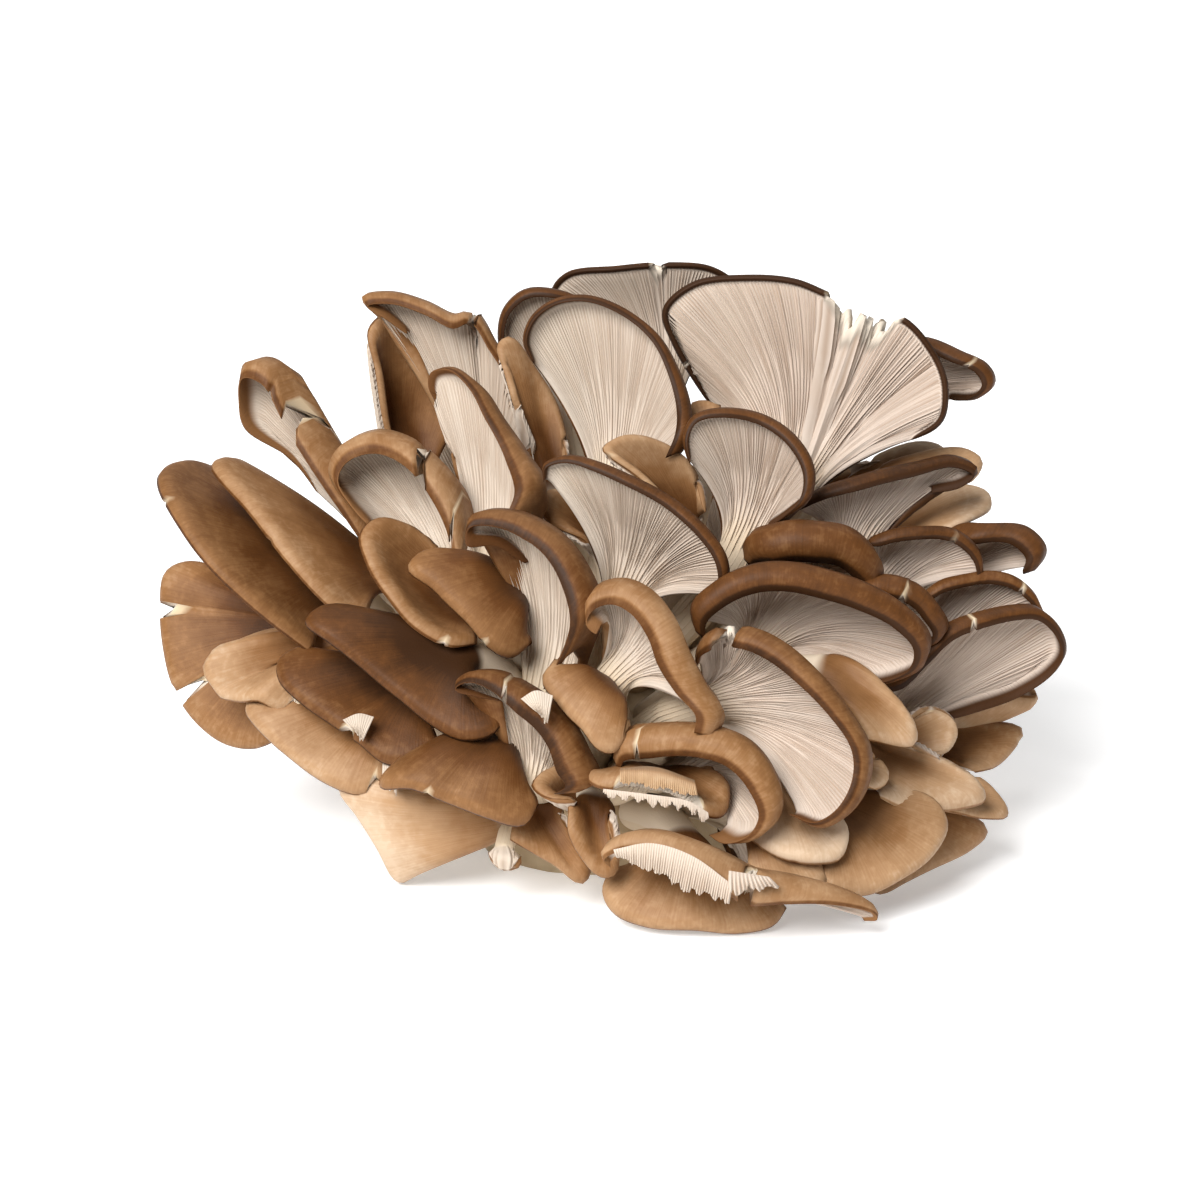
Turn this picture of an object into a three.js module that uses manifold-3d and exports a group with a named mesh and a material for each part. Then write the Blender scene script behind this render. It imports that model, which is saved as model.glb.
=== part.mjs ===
// A cluster of oyster mushrooms as picked: one butt, from which the stems fan out,
// each spreading into a cap with skin outside and gills inside.
// Millimetres, +Z up, the front toward -Y. The origin is the middle of the flat cut under the butt.
import * as THREE from 'three';
import { mergeVertices } from 'three/addons/utils/BufferGeometryUtils.js';
import Module from 'manifold-3d';

const wasm = await Module();
wasm.setup();

// The butt, an uneven lump cut flat underneath.
const BUTT_RADIUS = 46;
const BUTT_DEPTH_SHARE = 0.86;
const BUTT_HEIGHT = 60;
const BUTT_SIDES = 22;
const BUTT_LUMP = 0.07;

// The cluster leans back: its own axes are x right, y up the lean, z out toward the front.
const LEAN_DEGREES = 18;
const LEAN_CENTRE_HEIGHT = 78;

// What every mushroom has unless its row says otherwise.
const USUAL = {
  dome: 4, // how far the cap swells toward its skin
  roll: [50, 70, 50], // how far the rim curls to the gills, in degrees: left, tip, right
  lip: 4, // radius of that curl
  thick: 3, // flesh of the cap
  stem: 6, // stem radius under the cap
  foot: 6, // stem radius at the butt
  pull: 0.4, // how long the cap keeps the stem's direction
};
const GILL_SPACING = 24; // at the rim, one coarse ridge stands for several gills
const FEWEST_GILLS = 2;
const MOST_GILLS = 6;
const GILL_DEPTH = 1.5;
const RELIEF_BY_ROW = [0.6, 1, 1, 0.5, 0];
const NORMAL_TURN_BY_ROW = [0, 0.8, 1, 1, 1];
const STEM_HANDLE = 0.35; // of the stem's length, how far its ends hold their direction
const TIP_PULL = 1.2; // how much more the neck points to the rim than along the stem
const NECK_FULLNESS = 0.8; // of the stem's thickness, what is left where the cap begins
const SPREAD_BY = 0.5; // of the way over the cap, where the stem has spread out flat
const WIDE = 3; // gills above which the stem takes only half the columns
// Of the way from neck to rim, the most that a curl's radius may be: skin, then gills to the front.
const LIP_SHARE = { skin: 0.16, gills: 0.2 };
const MOST_CURL = 95; // degrees of each curl that this part holds, where the rim rolls in further
const MOST_IN_CURL = 0.55; // of a curl's radius, the most that the gills fill of it
const RIM_THICKNESS = 0.8;
const LEAST_THICKNESS = 0.5;
const SHORTEST_EDGE = 0.05;
const TOUCH = 0.01; // nearer than this, two places on a surface touch
const CLEARANCE = 0.5;
const EDGE_CLEARANCE = 1.6;

// Rows across a mushroom: along the stem, over the cap, then round the curled rim.
const STEM_STEPS = [0, 0.5];
const CAP_STEPS = [0, 0.34, 0.7, 1];
const CURL_STEPS = [1];

const SKIN = { color: 0x8b6b4c, roughness: 0.6, metalness: 0 };
const BUTT_FLESH = { color: 0xd9c8a8, roughness: 0.9, metalness: 0 };

// name, side toward the front (1 skin, -1 gills), neck, rim from its left end round the tip
// to its right end, root, and what differs from the usual. A row "with" another shares its stem.
const MUSHROOMS = [
  // upper fans, gills to the front
  ['top_back_fan', -1, [20, 62, -42], [[-10, 88, -42], [-15, 99, -36], [-10, 105, -32], [5, 107, -30],
    [20, 108, -30], [35, 107, -32], [44, 101, -36], [46, 92, -42]], [6, -18, -30],
    { lip: 3.5, roll: [120, 150, 130] }],
  ['top_left_fan', -1, [-10, 50, -28], [[-28, 72, -26], [-31.5, 84, -24], [-30, 93, -22],
    [-24, 98.5, -20], [-16, 99, -20], [-6, 95.5, -22], [0, 88, -26]], [-6, -20, -26],
    { lip: 3, roll: [120, 140, 120] }],
  ['top_middle_fan', -1, [4, 28, 0], [[-20, 75, 4], [-22.5, 82, 3], [-20, 89, 2], [-13, 94, 0],
    [-3, 95, 0], [8, 91, 1], [18, 83, 3], [24, 73, 6], [28, 62, 10], [28.5, 54, 14], [26, 47, 14]],
    [-2, -22, -8], { lip: 4, roll: [110, 130, 160] }],
  ['great_fan', -1, [56, 30, -12], [[36, 62, -18], [24, 82, -16], [21, 92, -14], [30, 100, -12],
    [47, 102, -11], [62, 100.5, -10], [75, 95, -10], [86, 91, -10], [96, 88, -9], [104, 79, -8],
    [108.5, 68, -6], [107, 57, -4], [98, 51, -5]], [14, -24, -18],
    { lip: 2.2, stem: 8, roll: [110, 120, 100] }],
  ['far_right_top_fan', -1, [85, 62, -38], [[98, 84, -32], [106, 84, -31], [116, 80, -30],
    [124, 76, -30], [126.5, 71, -30], [122, 67, -32], [112, 67, -36]], [20, -22, -34],
    { roll: [130, 150, 120] }],
  ['under_great_fan', 1, [70, 28, -32], [[86, 42, -28], [95, 49, -27], [103, 51.5, -26], [109, 50, -25],
    [111, 46, -24], [105, 41, -24], [95, 38, -24]], [24, -28, -26],
    { lip: 5.6, with: 'right_upper_cap' }],
  ['right_upper_fan', -1, [76, 14, -2], [[60, 30, 8], [70, 36, 8], [82, 40, 6], [98, 43.5, 2],
    [110, 45.5, -2], [116, 43, -4], [112, 39.5, -4], [102, 36.5, -4]], [26, -30, -8],
    { dome: 2, roll: [120, 150, 150], lip: 3.5 }],
  ['right_upper_small', 1, [90, 36, -24], [[105, 46, -20], [112, 48, -19], [118, 47, -18],
    [121.5, 44, -18], [119, 39, -20], [112, 38, -22]], [28, -28, -28], { with: 'right_upper_cap' }],
  ['right_upper_cap', 1, [80, 14, -20], [[92, 29, -20], [104, 36, -20], [116, 37.5, -19],
    [122.5, 35, -18], [123, 31, -14], [117, 27, -10], [109, 23, -8]], [28, -32, -16], { lip: 3 }],
  ['right_lip_cap', -1, [60, 5, 12], [[44, 17, 30], [47, 23, 34], [57, 26.5, 38], [69, 26.5, 38],
    [80, 23.5, 36], [87, 17, 32], [88, 10, 28]], [20, -30, 2], { lip: 6, roll: [150, 165, 150] }],
  ['right_middle_fan', -1, [84, 2, 0], [[84, 20, 10], [92, 23, 11], [103, 23.5, 10], [113, 21, 8],
    [118.5, 15, 6], [119, 8, 4]], [30, -34, -6], { roll: [120, 140, 130], lip: 3 }],
  ['right_lip_far', -1, [105, 8, -16], [[108, 20, -12], [116, 25, -10], [126, 25.5, -8], [136, 24, -8],
    [141, 18, -8], [138, 12, -10]], [34, -34, -18], { lip: 5, roll: [150, 165, 165] }],
  ['right_bud_far', 1, [110, 4, -28], [[118, 14, -22], [124, 14.5, -22], [128.5, 11, -22],
    [126, 7.5, -22]], [36, -34, -24], { stem: 4, with: 'right_lip_far' }],
  ['middle_fan', -1, [42, 14, 14], [[28, 44, 26], [27, 52, 25], [30, 57.5, 24], [38, 59.5, 24],
    [50, 57.5, 24], [60, 51, 26], [65.5, 42, 28], [65, 34, 29], [60, 29.5, 28], [53, 26, 26]],
    [8, -26, 2], { lip: 3, roll: [110, 140, 150] }],
  ['middle_bud', 1, [33, 42, 0], [[28, 58, 2], [29, 62.5, 2], [33, 63.5, 2], [38, 61, 1]],
    [10, -18, -10], { stem: 4, with: 'middle_fan' }],
  ['middle_cap', 1, [26, 20, 8], [[20, 32, 30], [11, 40, 30], [5, 44.5, 29], [2, 47.5, 27],
    [6, 50.5, 24], [14, 50.5, 20], [24, 46, 16], [31, 37, 14], [33, 28, 14]], [6, -24, 0],
    { dome: 3, lip: 2.8 }],
  ['middle_small_cap', 1, [2, 12, 10], [[-4, 18, 20], [-11, 24, 21], [-16, 29, 21], [-17, 33, 20],
    [-13, 35.5, 18], [-7, 33, 16], [-2.5, 26, 15]], [0, -26, 2],
    { stem: 4, dome: 2, with: 'centre_left_fan' }],
  ['centre_fan', -1, [6, -4, 28], [[-15.5, 38, 44], [-15, 42.5, 44], [-9, 44.5, 44], [0, 42.5, 46],
    [10, 38.5, 48], [22, 31.5, 50], [32, 22.5, 52], [38, 13.5, 52], [38.5, 7, 50], [33, 2.5, 46]],
    [2, -34, 8], { lip: 3, roll: [110, 130, 130] }],
  ['right_long_fan', -1, [44, -16, 30], [[28, -4, 52], [29, 2.5, 54], [37, 9, 56], [48, 12.5, 57],
    [60, 12.5, 57], [72, 9.5, 56], [84, 5, 54], [94, -0.5, 50], [100.5, -8, 46], [99.5, -15, 42],
    [92, -19.5, 40], [81, -21.5, 38], [72, -20.5, 36]], [14, -38, 8], { lip: 5, roll: [150, 160, 130] }],
  ['right_tucked_fan', -1, [80, -10, 20], [[80, 7, 34], [88, 9, 34], [97, 7, 33], [104, 1.5, 31],
    [107.5, -5, 28], [104, -10, 26]], [26, -38, 0], { roll: [150, 150, 150] }],
  ['right_rear_fan', -1, [100, -14, -2], [[101, 3, 8], [108, 7.5, 8], [118, 9, 7], [128, 8, 6],
    [135, 3, 4], [138, -3, 2]], [32, -38, -12], { roll: [120, 140, 130], lip: 3 }],
  ['right_tongue_fan', -1, [80, -42, 12], [[84, -22.5, 26], [93, -20, 27], [101, -13, 26],
    [108, -7, 24], [116, -4, 22], [127, -2, 18], [135, -2.5, 14], [141, -8, 10], [142.5, -14, 8],
    [138, -20, 6], [128, -26, 6], [116, -30, 8], [106, -33.5, 10]], [28, -46, -4],
    { lip: 4, roll: [160, 150, 120], dome: 2 }],
  ['right_thin_cap', -1, [98, -38, -12], [[108, -31, -14], [120, -28.5, -13], [131, -27, -12],
    [137, -29.5, -11], [138.5, -32, -10], [128, -32, -4], [114, -33, -2]], [34, -44, -16],
    { with: 'right_low_tongue' }],
  ['right_low_tongue', 1, [100, -45, -4], [[108, -37, -4], [120, -38.5, -8], [129, -39, -10],
    [134, -40, -10], [131, -45, -6], [124, -50.5, 0], [117, -53, 4]], [34, -50, -10], { dome: 2 }],
  ['right_pale_cap', 1, [84, -46, 18], [[94, -38, 22], [102, -33.5, 23], [109, -37, 22], [110, -42, 22],
    [106, -47, 23], [97, -48, 26]], [30, -50, 2],
    { dome: 2, lip: 2.8, roll: [10, 20, 10], with: 'right_low_cap' }],
  ['right_shoulder_cap', 1, [66, -22, 38], [[84, -24, 46], [91, -31, 48], [96.5, -38, 50],
    [96, -42, 52], [89, -42, 54], [81, -41, 56]], [20, -42, 6], { dome: 4 }],
  ['right_shoulder_bud', 1, [70, -48, 44], [[80, -46, 52], [85, -48.5, 52], [87.5, -53, 53],
    [84, -56, 55], [79, -55, 56]], [24, -50, 8], { stem: 4, dome: 2, with: 'right_shoulder_cap' }],
  ['right_low_cap', 1, [72, -45, 28], [[90, -42, 34], [99, -45, 33], [110, -50, 31], [118, -55.5, 30],
    [119.5, -59, 32], [112, -60.5, 38], [98, -60.5, 46], [86, -57.5, 52]], [24, -52, 4],
    { dome: 2, lip: 5.6, thick: 2.4 }],
  ['right_low_rear', 1, [92, -56, 14], [[112, -52, 16], [120, -56, 15], [126, -61, 16], [127, -64, 18],
    [116, -65, 24], [104, -63, 30]], [28, -54, -4], { dome: 2, with: 'right_floor_cap' }],
  ['right_big_cap', 1, [64, -62, 40], [[96, -58, 42], [104, -62, 42], [106.5, -68, 44], [102, -76, 50],
    [93, -82, 56], [82, -86.5, 60], [72, -86.5, 62], [67, -82, 62]], [22, -56, 6], { dome: 6 }],
  ['right_floor_cap', 1, [84, -64, 22], [[108, -66, 16], [116, -68, 14], [121, -72, 14], [116, -77, 18],
    [105, -82, 24], [95, -87, 28], [88, -90, 31], [83, -88, 34]], [26, -60, 0], {}],
  ['front_pale_cap', 1, [52, -56, 50], [[64, -61, 58], [71, -64.5, 60], [74.5, -70, 62],
    [72.5, -76, 65], [64, -77.5, 68], [54, -75.5, 68], [46, -70, 66]], [18, -54, 12], { dome: 0.8 }],
  ['front_pale_under', 1, [46, -66, 52], [[60, -76, 60], [66, -79.5, 61], [68.5, -85, 63],
    [60, -86, 66], [50, -84.5, 68], [45, -79, 66]], [16, -60, 12],
    { dome: 3, thick: 2.4, with: 'front_pale_cap' }],
  // centre
  ['centre_hook_fan', -1, [4, -24, 50], [[4, -5, 63], [0.5, 2, 63], [3, 6.5, 64], [10, 7.5, 64],
    [18, 4, 67], [24.5, -4, 70], [29, -14, 72], [34, -25, 73], [38.5, -32, 73], [37, -37, 71]],
    [5, -42, 16], { lip: 6, roll: [150, 165, 160] }],
  ['front_right_fan', -1, [30, -32, 48], [[31, -18, 58], [33, -11, 60], [40, -7, 63], [50, -8.5, 66],
    [58, -13, 68], [67, -21.5, 70], [76, -33, 70], [81.5, -44, 70], [81, -54, 70], [76, -62.5, 70],
    [69, -66, 68], [61, -63, 66]], [8, -46, 14], { lip: 5, roll: [150, 160, 120] }],
  ['front_hood_fan', -1, [22, -52, 42], [[5, -42, 66], [8, -37, 70], [20, -35.5, 74], [34, -36.5, 76],
    [45, -41, 77], [53, -49.5, 76], [56.5, -58, 74], [54, -65, 72], [47, -68.5, 70], [41, -66, 66]],
    [6, -52, 14], { lip: 8, roll: [150, 165, 140] }],
  ['centre_dome_cap', 1, [0, -28, 54], [[9, -36, 72], [5, -44, 75], [0, -42, 76], [-5, -34.5, 75],
    [-12, -27, 72], [-16.5, -21.5, 68], [-13, -18, 64]], [-2, -48, 16],
    { dome: 8, with: 'front_torn_fan' }],
  ['centre_left_fan', -1, [-15, -28, 32], [[-21, 12, 46], [-28, 20, 50], [-36, 23, 53], [-35, 28, 52],
    [-24, 28.5, 52], [-12, 23, 54], [-3, 14, 56], [2, 4, 57], [-0.5, -5, 54], [-6, -11, 50]],
    [-12, -46, 8], { lip: 8, roll: [100, 140, 165], stem: 9, dome: 2 }],
  // upper left
  ['left_upper_fan', -1, [-31, 8, 18], [[-47, 58, 12], [-50.5, 66, 14], [-49, 71, 15], [-43, 72, 16],
    [-36, 67, 18], [-29, 57, 21], [-22, 48, 24], [-15, 39, 27], [-17, 33, 28], [-25, 28, 29]],
    [-12, -36, 2], { lip: 8, roll: [60, 120, 165], stem: 8 }],
  ['left_upper_cap', 1, [-16, 30, -8], [[-20, 50, -4], [-26, 62, -4], [-29, 73, -6], [-31, 81, -8],
    [-27.5, 83.5, -10], [-21, 76, -12], [-15, 66, -12], [-11.5, 54, -10], [-11, 44, -8]],
    [-8, -30, -10], { lip: 3, dome: 3, thick: 2.4 }],
  ['left_top_fan', -1, [-34, 32, -20], [[-60, 86, -20], [-67, 92, -18], [-74, 97, -16], [-66, 98, -16],
    [-55, 95, -16], [-46, 91, -16], [-40, 92, -17], [-34, 83, -17], [-29, 74, -17], [-26, 64, -17],
    [-23, 54, -17]], [-14, -30, -14], { roll: [140, 150, 100], lip: 2.1 }],
  ['left_top_cap', 1, [-57, 34, -30], [[-66, 48, -24], [-69, 60, -22], [-71.5, 74, -22], [-73, 85, -22],
    [-68.5, 90, -25], [-62, 87, -30], [-55, 78, -34], [-50, 67, -36], [-47, 55, -36]], [-22, -32, -22],
    { dome: -3 }],
  ['left_hood_fan', -1, [-42, 4, 8], [[-70, 26, 12], [-77, 34, 8], [-82, 43, 6], [-79, 50, 6],
    [-70, 54.5, 8], [-60, 53, 12], [-51, 48, 16], [-44, 41, 16], [-42, 32, 16], [-42, 22, 16]],
    [-20, -40, -4], { lip: 8, roll: [120, 150, 170], stem: 8 }],
  ['left_torn_fan', -1, [-62, 12, -4], [[-88, 34, -8], [-96, 46, -8], [-108, 58, -8], [-108.5, 68, -8],
    [-106, 77, -6], [-99, 76, -4], [-92, 63, -2], [-84, 50, 2], [-76, 36, 6], [-70, 24, 8]],
    [-22, -36, -8], { lip: 5, roll: [60, 150, 165], dome: 2 }],
  ['left_fold_cap', 1, [-34, 0, 28], [[-38, -13, 44], [-47, -13.5, 47], [-57, -7, 47], [-64, 2, 45],
    [-70, 12, 41], [-72.5, 20, 37], [-68, 25, 33], [-60, 23.5, 29], [-52, 18, 27]], [-16, -44, 4],
    { dome: -6, with: 'left_hood_fan' }],
  ['left_dome_cap', 1, [-24, -2, 34], [[-20, -11, 50], [-26, -15.5, 54], [-33, -12, 56],
    [-41, -3.5, 56], [-50, 6, 54], [-58, 11.5, 50], [-55, 15, 46], [-46, 15, 42]], [-14, -46, 10],
    { dome: 8, with: 'left_dark_cap' }],
  ['left_dark_cap', 1, [-38, -18, 36], [[-29, -34, 58], [-33, -39, 60], [-42, -40.5, 60],
    [-52, -35, 58], [-62, -26.5, 56], [-73, -17, 54], [-83, -10.5, 52], [-89.5, -6, 48],
    [-86, -2.5, 44], [-74, -3, 40]], [-18, -50, 8], { dome: 5 }],
  ['front_torn_fan', -1, [-20, -55, 46], [[-29, -30, 60], [-36, -27, 60], [-41.5, -23.5, 58],
    [-37, -20, 58], [-28, -20, 59], [-17, -25.5, 60], [-8, -33, 62], [-2, -42, 63], [1.5, -50, 63],
    [-2, -53, 62]], [-10, -56, 14], { lip: 4, roll: [120, 150, 150], dome: 2, thick: 2.4 }],
  ['left_long_cap', 1, [-75, 0, -5], [[-88, -14, 30], [-105, 0, 35], [-125, 20, 30], [-136, 40, 10],
    [-128, 44, -10], [-112, 33, -25], [-98, 18, -30]], [-26, -42, -8], { dome: -6 }],
  ['left_second_cap', 1, [-62, 2, 4], [[-72, -4, 34], [-80, -3, 36], [-95, 14, 34], [-108, 30, 26],
    [-119.5, 43, 14], [-115, 44, 4], [-98, 34, -8], [-84, 26, -12]], [-24, -44, -2], { dome: -4 }],
  ['left_mid_cap', 1, [-50, -26, 24], [[-50, -43, 44], [-58, -48.5, 46], [-66, -48, 46], [-74, -42, 44],
    [-82, -36, 42], [-91, -29.5, 40], [-98, -22, 36], [-98.5, -17, 32], [-92, -13, 28]], [-22, -52, 4],
    {}],
  ['left_ruffled_cap', 1, [-74, -16, 10], [[-90, -35, 26], [-95, -33, 27], [-103, -31, 28],
    [-112, -28.5, 26], [-119, -24.5, 22], [-123.5, -20.5, 18], [-119, -16, 14], [-110, -12, 10],
    [-100, -8.5, 8]], [-28, -48, -4], {}],
  ['left_low_cap', 1, [-60, -36, 18], [[-66, -52, 34], [-73, -58, 36], [-79, -57, 36], [-90, -50, 34],
    [-101, -42, 30], [-109, -34, 25], [-109, -30, 20]], [-26, -54, -2], {}],
  ['left_split_fan', 1, [-86, -12, -6], [[-100, -42, 4], [-110, -45.5, 2], [-120, -43.5, 0],
    [-129, -36, -2], [-135, -26, -4], [-138, -14, -6], [-139, -2, -8], [-137.5, 9, -10],
    [-130, 12, -12], [-118, 7, -14]], [-30, -46, -14], {}],
  ['front_left_cap', 1, [-28, -44, 40], [[-19, -61, 60], [-23, -66.5, 63], [-34, -63, 66],
    [-46, -57.5, 66], [-57, -54, 64], [-67, -54, 58], [-63, -49.5, 52], [-54, -44, 46]], [-16, -56, 10],
    { dome: 7 }],
  ['left_floor_cap', 1, [-30, -66, 30], [[-62, -88, 20], [-65, -86, 22], [-70, -76, 28], [-76, -66, 30],
    [-81, -58, 30], [-76, -50, 24]], [-20, -60, 4], { stem: 7 }],
  ['front_small_cap', 1, [-20, -60, 36], [[-12, -66, 48], [-7, -75, 50], [-3, -82, 50], [-5, -85.5, 50],
    [-14, -79, 52], [-22, -74.5, 52], [-27, -72, 50]], [-12, -60, 12],
    { dome: 4, with: 'left_floor_cap' }],
  ['front_torn_bud', 1, [-8, -60, 46], [[-7, -60, 64], [-14, -58.5, 64], [-18.5, -55, 62],
    [-16, -51.5, 58], [-9, -50.5, 54], [-3, -53, 54]], [-10, -58, 12],
    { stem: 4, dome: 2, with: 'front_drooping_cap' }],
  ['front_broken_cap', 1, [12, -56, 46], [[33, -52, 58], [38.5, -58, 64], [38, -65, 68], [33, -66, 72],
    [24, -60, 75], [10, -57, 76], [0, -56, 74], [-4, -54, 68]], [4, -58, 16], { dome: 5 }],
  ['front_drooping_cap', 1, [-2, -60, 52], [[3, -66, 62], [5.5, -76, 64], [4.5, -82, 64], [1, -83, 64],
    [-5, -77, 65], [-8.5, -69, 65], [-9, -62, 62]], [-6, -62, 14], { stem: 5, dome: 2 }],
  ['front_floor_cap', 1, [24, -72, 40], [[56, -92, 56], [52, -97, 60], [42, -99, 62], [28, -98.5, 64],
    [14, -97.5, 62], [5, -94, 58], [1, -88, 54], [3, -82, 50]], [8, -64, 12], { dome: 5 }],
  ['front_split_fan', -1, [42, -90, 50], [[4, -77, 70], [2, -74.5, 72], [8, -70, 74], [18, -69.5, 76],
    [28, -73, 78], [38, -78, 78], [47, -82, 77], [60, -84, 74], [72, -86.5, 70], [82, -92.5, 66],
    [83, -95.5, 64], [79, -96.5, 63]], [14, -64, 10], { lip: 5, roll: [120, 150, 120] }],
  // behind, skin to the back
  ['back_low_middle', -1, [0, -42, -46], [[-16, -30, -60], [-28, -14, -74], [-26, -2, -84],
    [-10, 4, -88], [8, 4, -88], [24, -3, -84], [27, -15, -74], [16, -30, -60]], [0, -46, -16],
    { stem: 8 }],
  ['back_low_left', -1, [-24, -44, -38], [[-42, -38, -46], [-62, -32, -54], [-76, -16, -64],
    [-74, 0, -72], [-58, 8, -78], [-42, 2, -80], [-34, -12, -70], [-30, -28, -56]], [-12, -48, -14],
    { stem: 8, roll: [20, 28, 20], lip: 5.6, dome: 2, thick: 2.4 }],
  ['back_low_right', -1, [26, -44, -40], [[28, -26, -60], [34, -10, -72], [44, 4, -80], [60, 10, -80],
    [76, 2, -74], [78, -14, -66], [64, -30, -60], [44, -38, -50]], [12, -48, -14],
    { stem: 8, roll: [2, 3, 2], lip: 7.8, dome: 3, thick: 1.9 }],
  ['back_middle_left', -1, [-26, 0, -50], [[-42, 14, -58], [-54, 30, -64], [-56, 46, -64],
    [-44, 58, -62], [-28, 58, -62], [-16, 46, -64], [-14, 28, -62], [-16, 12, -56]], [-8, -34, -24], {}],
  ['back_middle', -1, [6, 0, -56], [[-6, 14, -66], [-12, 30, -74], [-6, 44, -76], [8, 50, -76],
    [22, 46, -76], [30, 34, -74], [28, 18, -66], [20, 8, -60]], [2, -34, -24], {}],
  ['back_middle_right', -1, [38, 0, -54], [[34, 14, -62], [36, 32, -70], [48, 46, -72], [66, 50, -68],
    [78, 42, -64], [78, 26, -60], [66, 14, -56], [52, 6, -54]], [14, -34, -24], { dome: 2 }],
  ['back_far_left', -1, [-52, -30, -34], [[-74, -28, -38], [-94, -20, -42], [-104, -4, -46],
    [-98, 10, -50], [-82, 12, -56], [-66, 2, -54], [-58, -12, -44]], [-24, -44, -16], { dome: 2 }],
  ['back_far_right', -1, [62, -34, -40], [[66, -16, -52], [78, -2, -60], [94, 2, -60], [106, -6, -54],
    [109, -20, -48], [98, -32, -44], [80, -38, -42]], [26, -46, -18], {}],
  ['front_stub', 1, [-29, -75, 40], [[-34, -77, 40], [-32, -80, 40], [-29, -82, 40], [-25, -81, 40],
    [-24, -78, 40]], [-22, -66, 16], { stem: 3, foot: 4, dome: 1, lip: 1, with: 'left_floor_cap' }],
];

const vec = (list) => new THREE.Vector3(...list);

// A value that runs left, middle, right over u from -1 to 1.
function across(values, u) {
  const end = u < 0 ? values[0] : values[2];
  return values[1] + (end - values[1]) * Math.abs(u) ** 1.5;
}

function spread(count) {
  return Array.from({ length: count + 1 }, (_, i) => -1 + (2 * i) / count);
}

// The directions of one mushroom: skin side, forward out of the neck, and across it.
function directions(side, neck, rim, root) {
  const seen = new THREE.Vector3();
  const middle = new THREE.Vector3();
  for (let i = 0; i < rim.length; i++) {
    middle.addScaledVector(rim[i], 1 / rim.length);
    if (i > 0) {
      const wedge = rim[i - 1].clone().sub(neck);
      seen.sub(wedge.cross(rim[i].clone().sub(neck)));
    }
  }
  const skin = seen.normalize().multiplyScalar(side);
  const toTip = middle.sub(neck).normalize();
  toTip.addScaledVector(skin, -skin.dot(toTip)).normalize();
  const forward = neck.clone().sub(root).normalize().addScaledVector(toTip, TIP_PULL).normalize();
  const back = skin.clone().addScaledVector(forward, -skin.dot(forward)).normalize();
  const sideways = forward.clone().cross(back).multiplyScalar(side);
  return { skin, forward, back, sideways };
}

// One mushroom's middle surface at one u: points, half thicknesses and skin normals by row.
function rib(row, u) {
  const [, side, neckList, rimList, rootList, differences] = row;
  const own = { ...USUAL, ...differences };
  const neck = vec(neckList);
  const root = vec(rootList);
  const rim = rimList.map(vec);
  const { skin, forward, back, sideways } = directions(side, neck, rim, root);
  const aside = Math.sin((u * Math.PI) / 2);
  const round = Math.cos((u * Math.PI) / 2);
  const points = [];
  const halves = [];
  const normals = [];

  const length = neck.distanceTo(root);
  const direction = neck.clone().sub(root).normalize();
  const stemLine = new THREE.CubicBezierCurve3(
    root,
    root.clone().addScaledVector(direction, STEM_HANDLE * length),
    neck.clone().addScaledVector(forward, -STEM_HANDLE * length),
    neck,
  );
  for (const step of STEM_STEPS) {
    const radius = own.foot * (1 - step) + own.stem * step;
    const along = stemLine.getTangent(step);
    const normal = back.clone().addScaledVector(along, -back.dot(along)).normalize();
    const beside = along.clone().cross(normal).multiplyScalar(side);
    points.push(stemLine.getPoint(step).addScaledVector(beside, radius * aside));
    halves.push(radius * round);
    normals.push(normal);
  }

  const start = neck.clone().addScaledVector(sideways, own.stem * aside);
  const rimCurve = new THREE.CatmullRomCurve3(rim, false, 'centripetal');
  const tip = rimCurve.getPointAt((u + 1) / 2);
  const curl = THREE.MathUtils.degToRad(Math.min(MOST_CURL, across(own.roll, u)));
  const outward = tip.clone().sub(start).normalize();
  const lipShare = side > 0 ? LIP_SHARE.skin : LIP_SHARE.gills;
  const lip = Math.min(own.lip, lipShare * tip.distanceTo(start));
  const end = tip.clone().addScaledVector(outward, -lip * Math.sin(Math.min(curl, Math.PI / 2)));
  const bend = start.clone().addScaledVector(forward, own.pull * end.distanceTo(start));
  const capLine = new THREE.QuadraticBezierCurve3(start, bend, end);
  const capPoint = (t) => {
    const swell = own.dome * Math.sin(Math.PI * t ** 1.2) * (1 - u ** 4);
    return capLine.getPoint(t).addScaledVector(skin, swell);
  };
  for (const t of CAP_STEPS) {
    const open = THREE.MathUtils.smoothstep(t, 0, SPREAD_BY);
    const stemPart = own.stem * NECK_FULLNESS * round;
    const capPart = (own.thick / 2) * (1 - u ** 4);
    points.push(capPoint(t));
    halves.push(stemPart * (1 - open) + capPart * open);
    normals.push(back.clone());
  }
  const last = capPoint(1);
  const onward = last.clone().sub(capPoint(0.97)).normalize();
  const up = skin.clone().addScaledVector(onward, -skin.dot(onward)).normalize();
  for (const step of CURL_STEPS) {
    const angle = curl * step;
    const point = last.clone().addScaledVector(onward, lip * Math.sin(angle));
    points.push(point.addScaledVector(up, -lip * (1 - Math.cos(angle))));
    const thin = THREE.MathUtils.lerp(own.thick, RIM_THICKNESS, step ** 3) / 2;
    halves.push(thin * (1 - u ** 4));
    normals.push(back.clone());
  }
  return { points, halves, normals, skin, lip };
}

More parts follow.
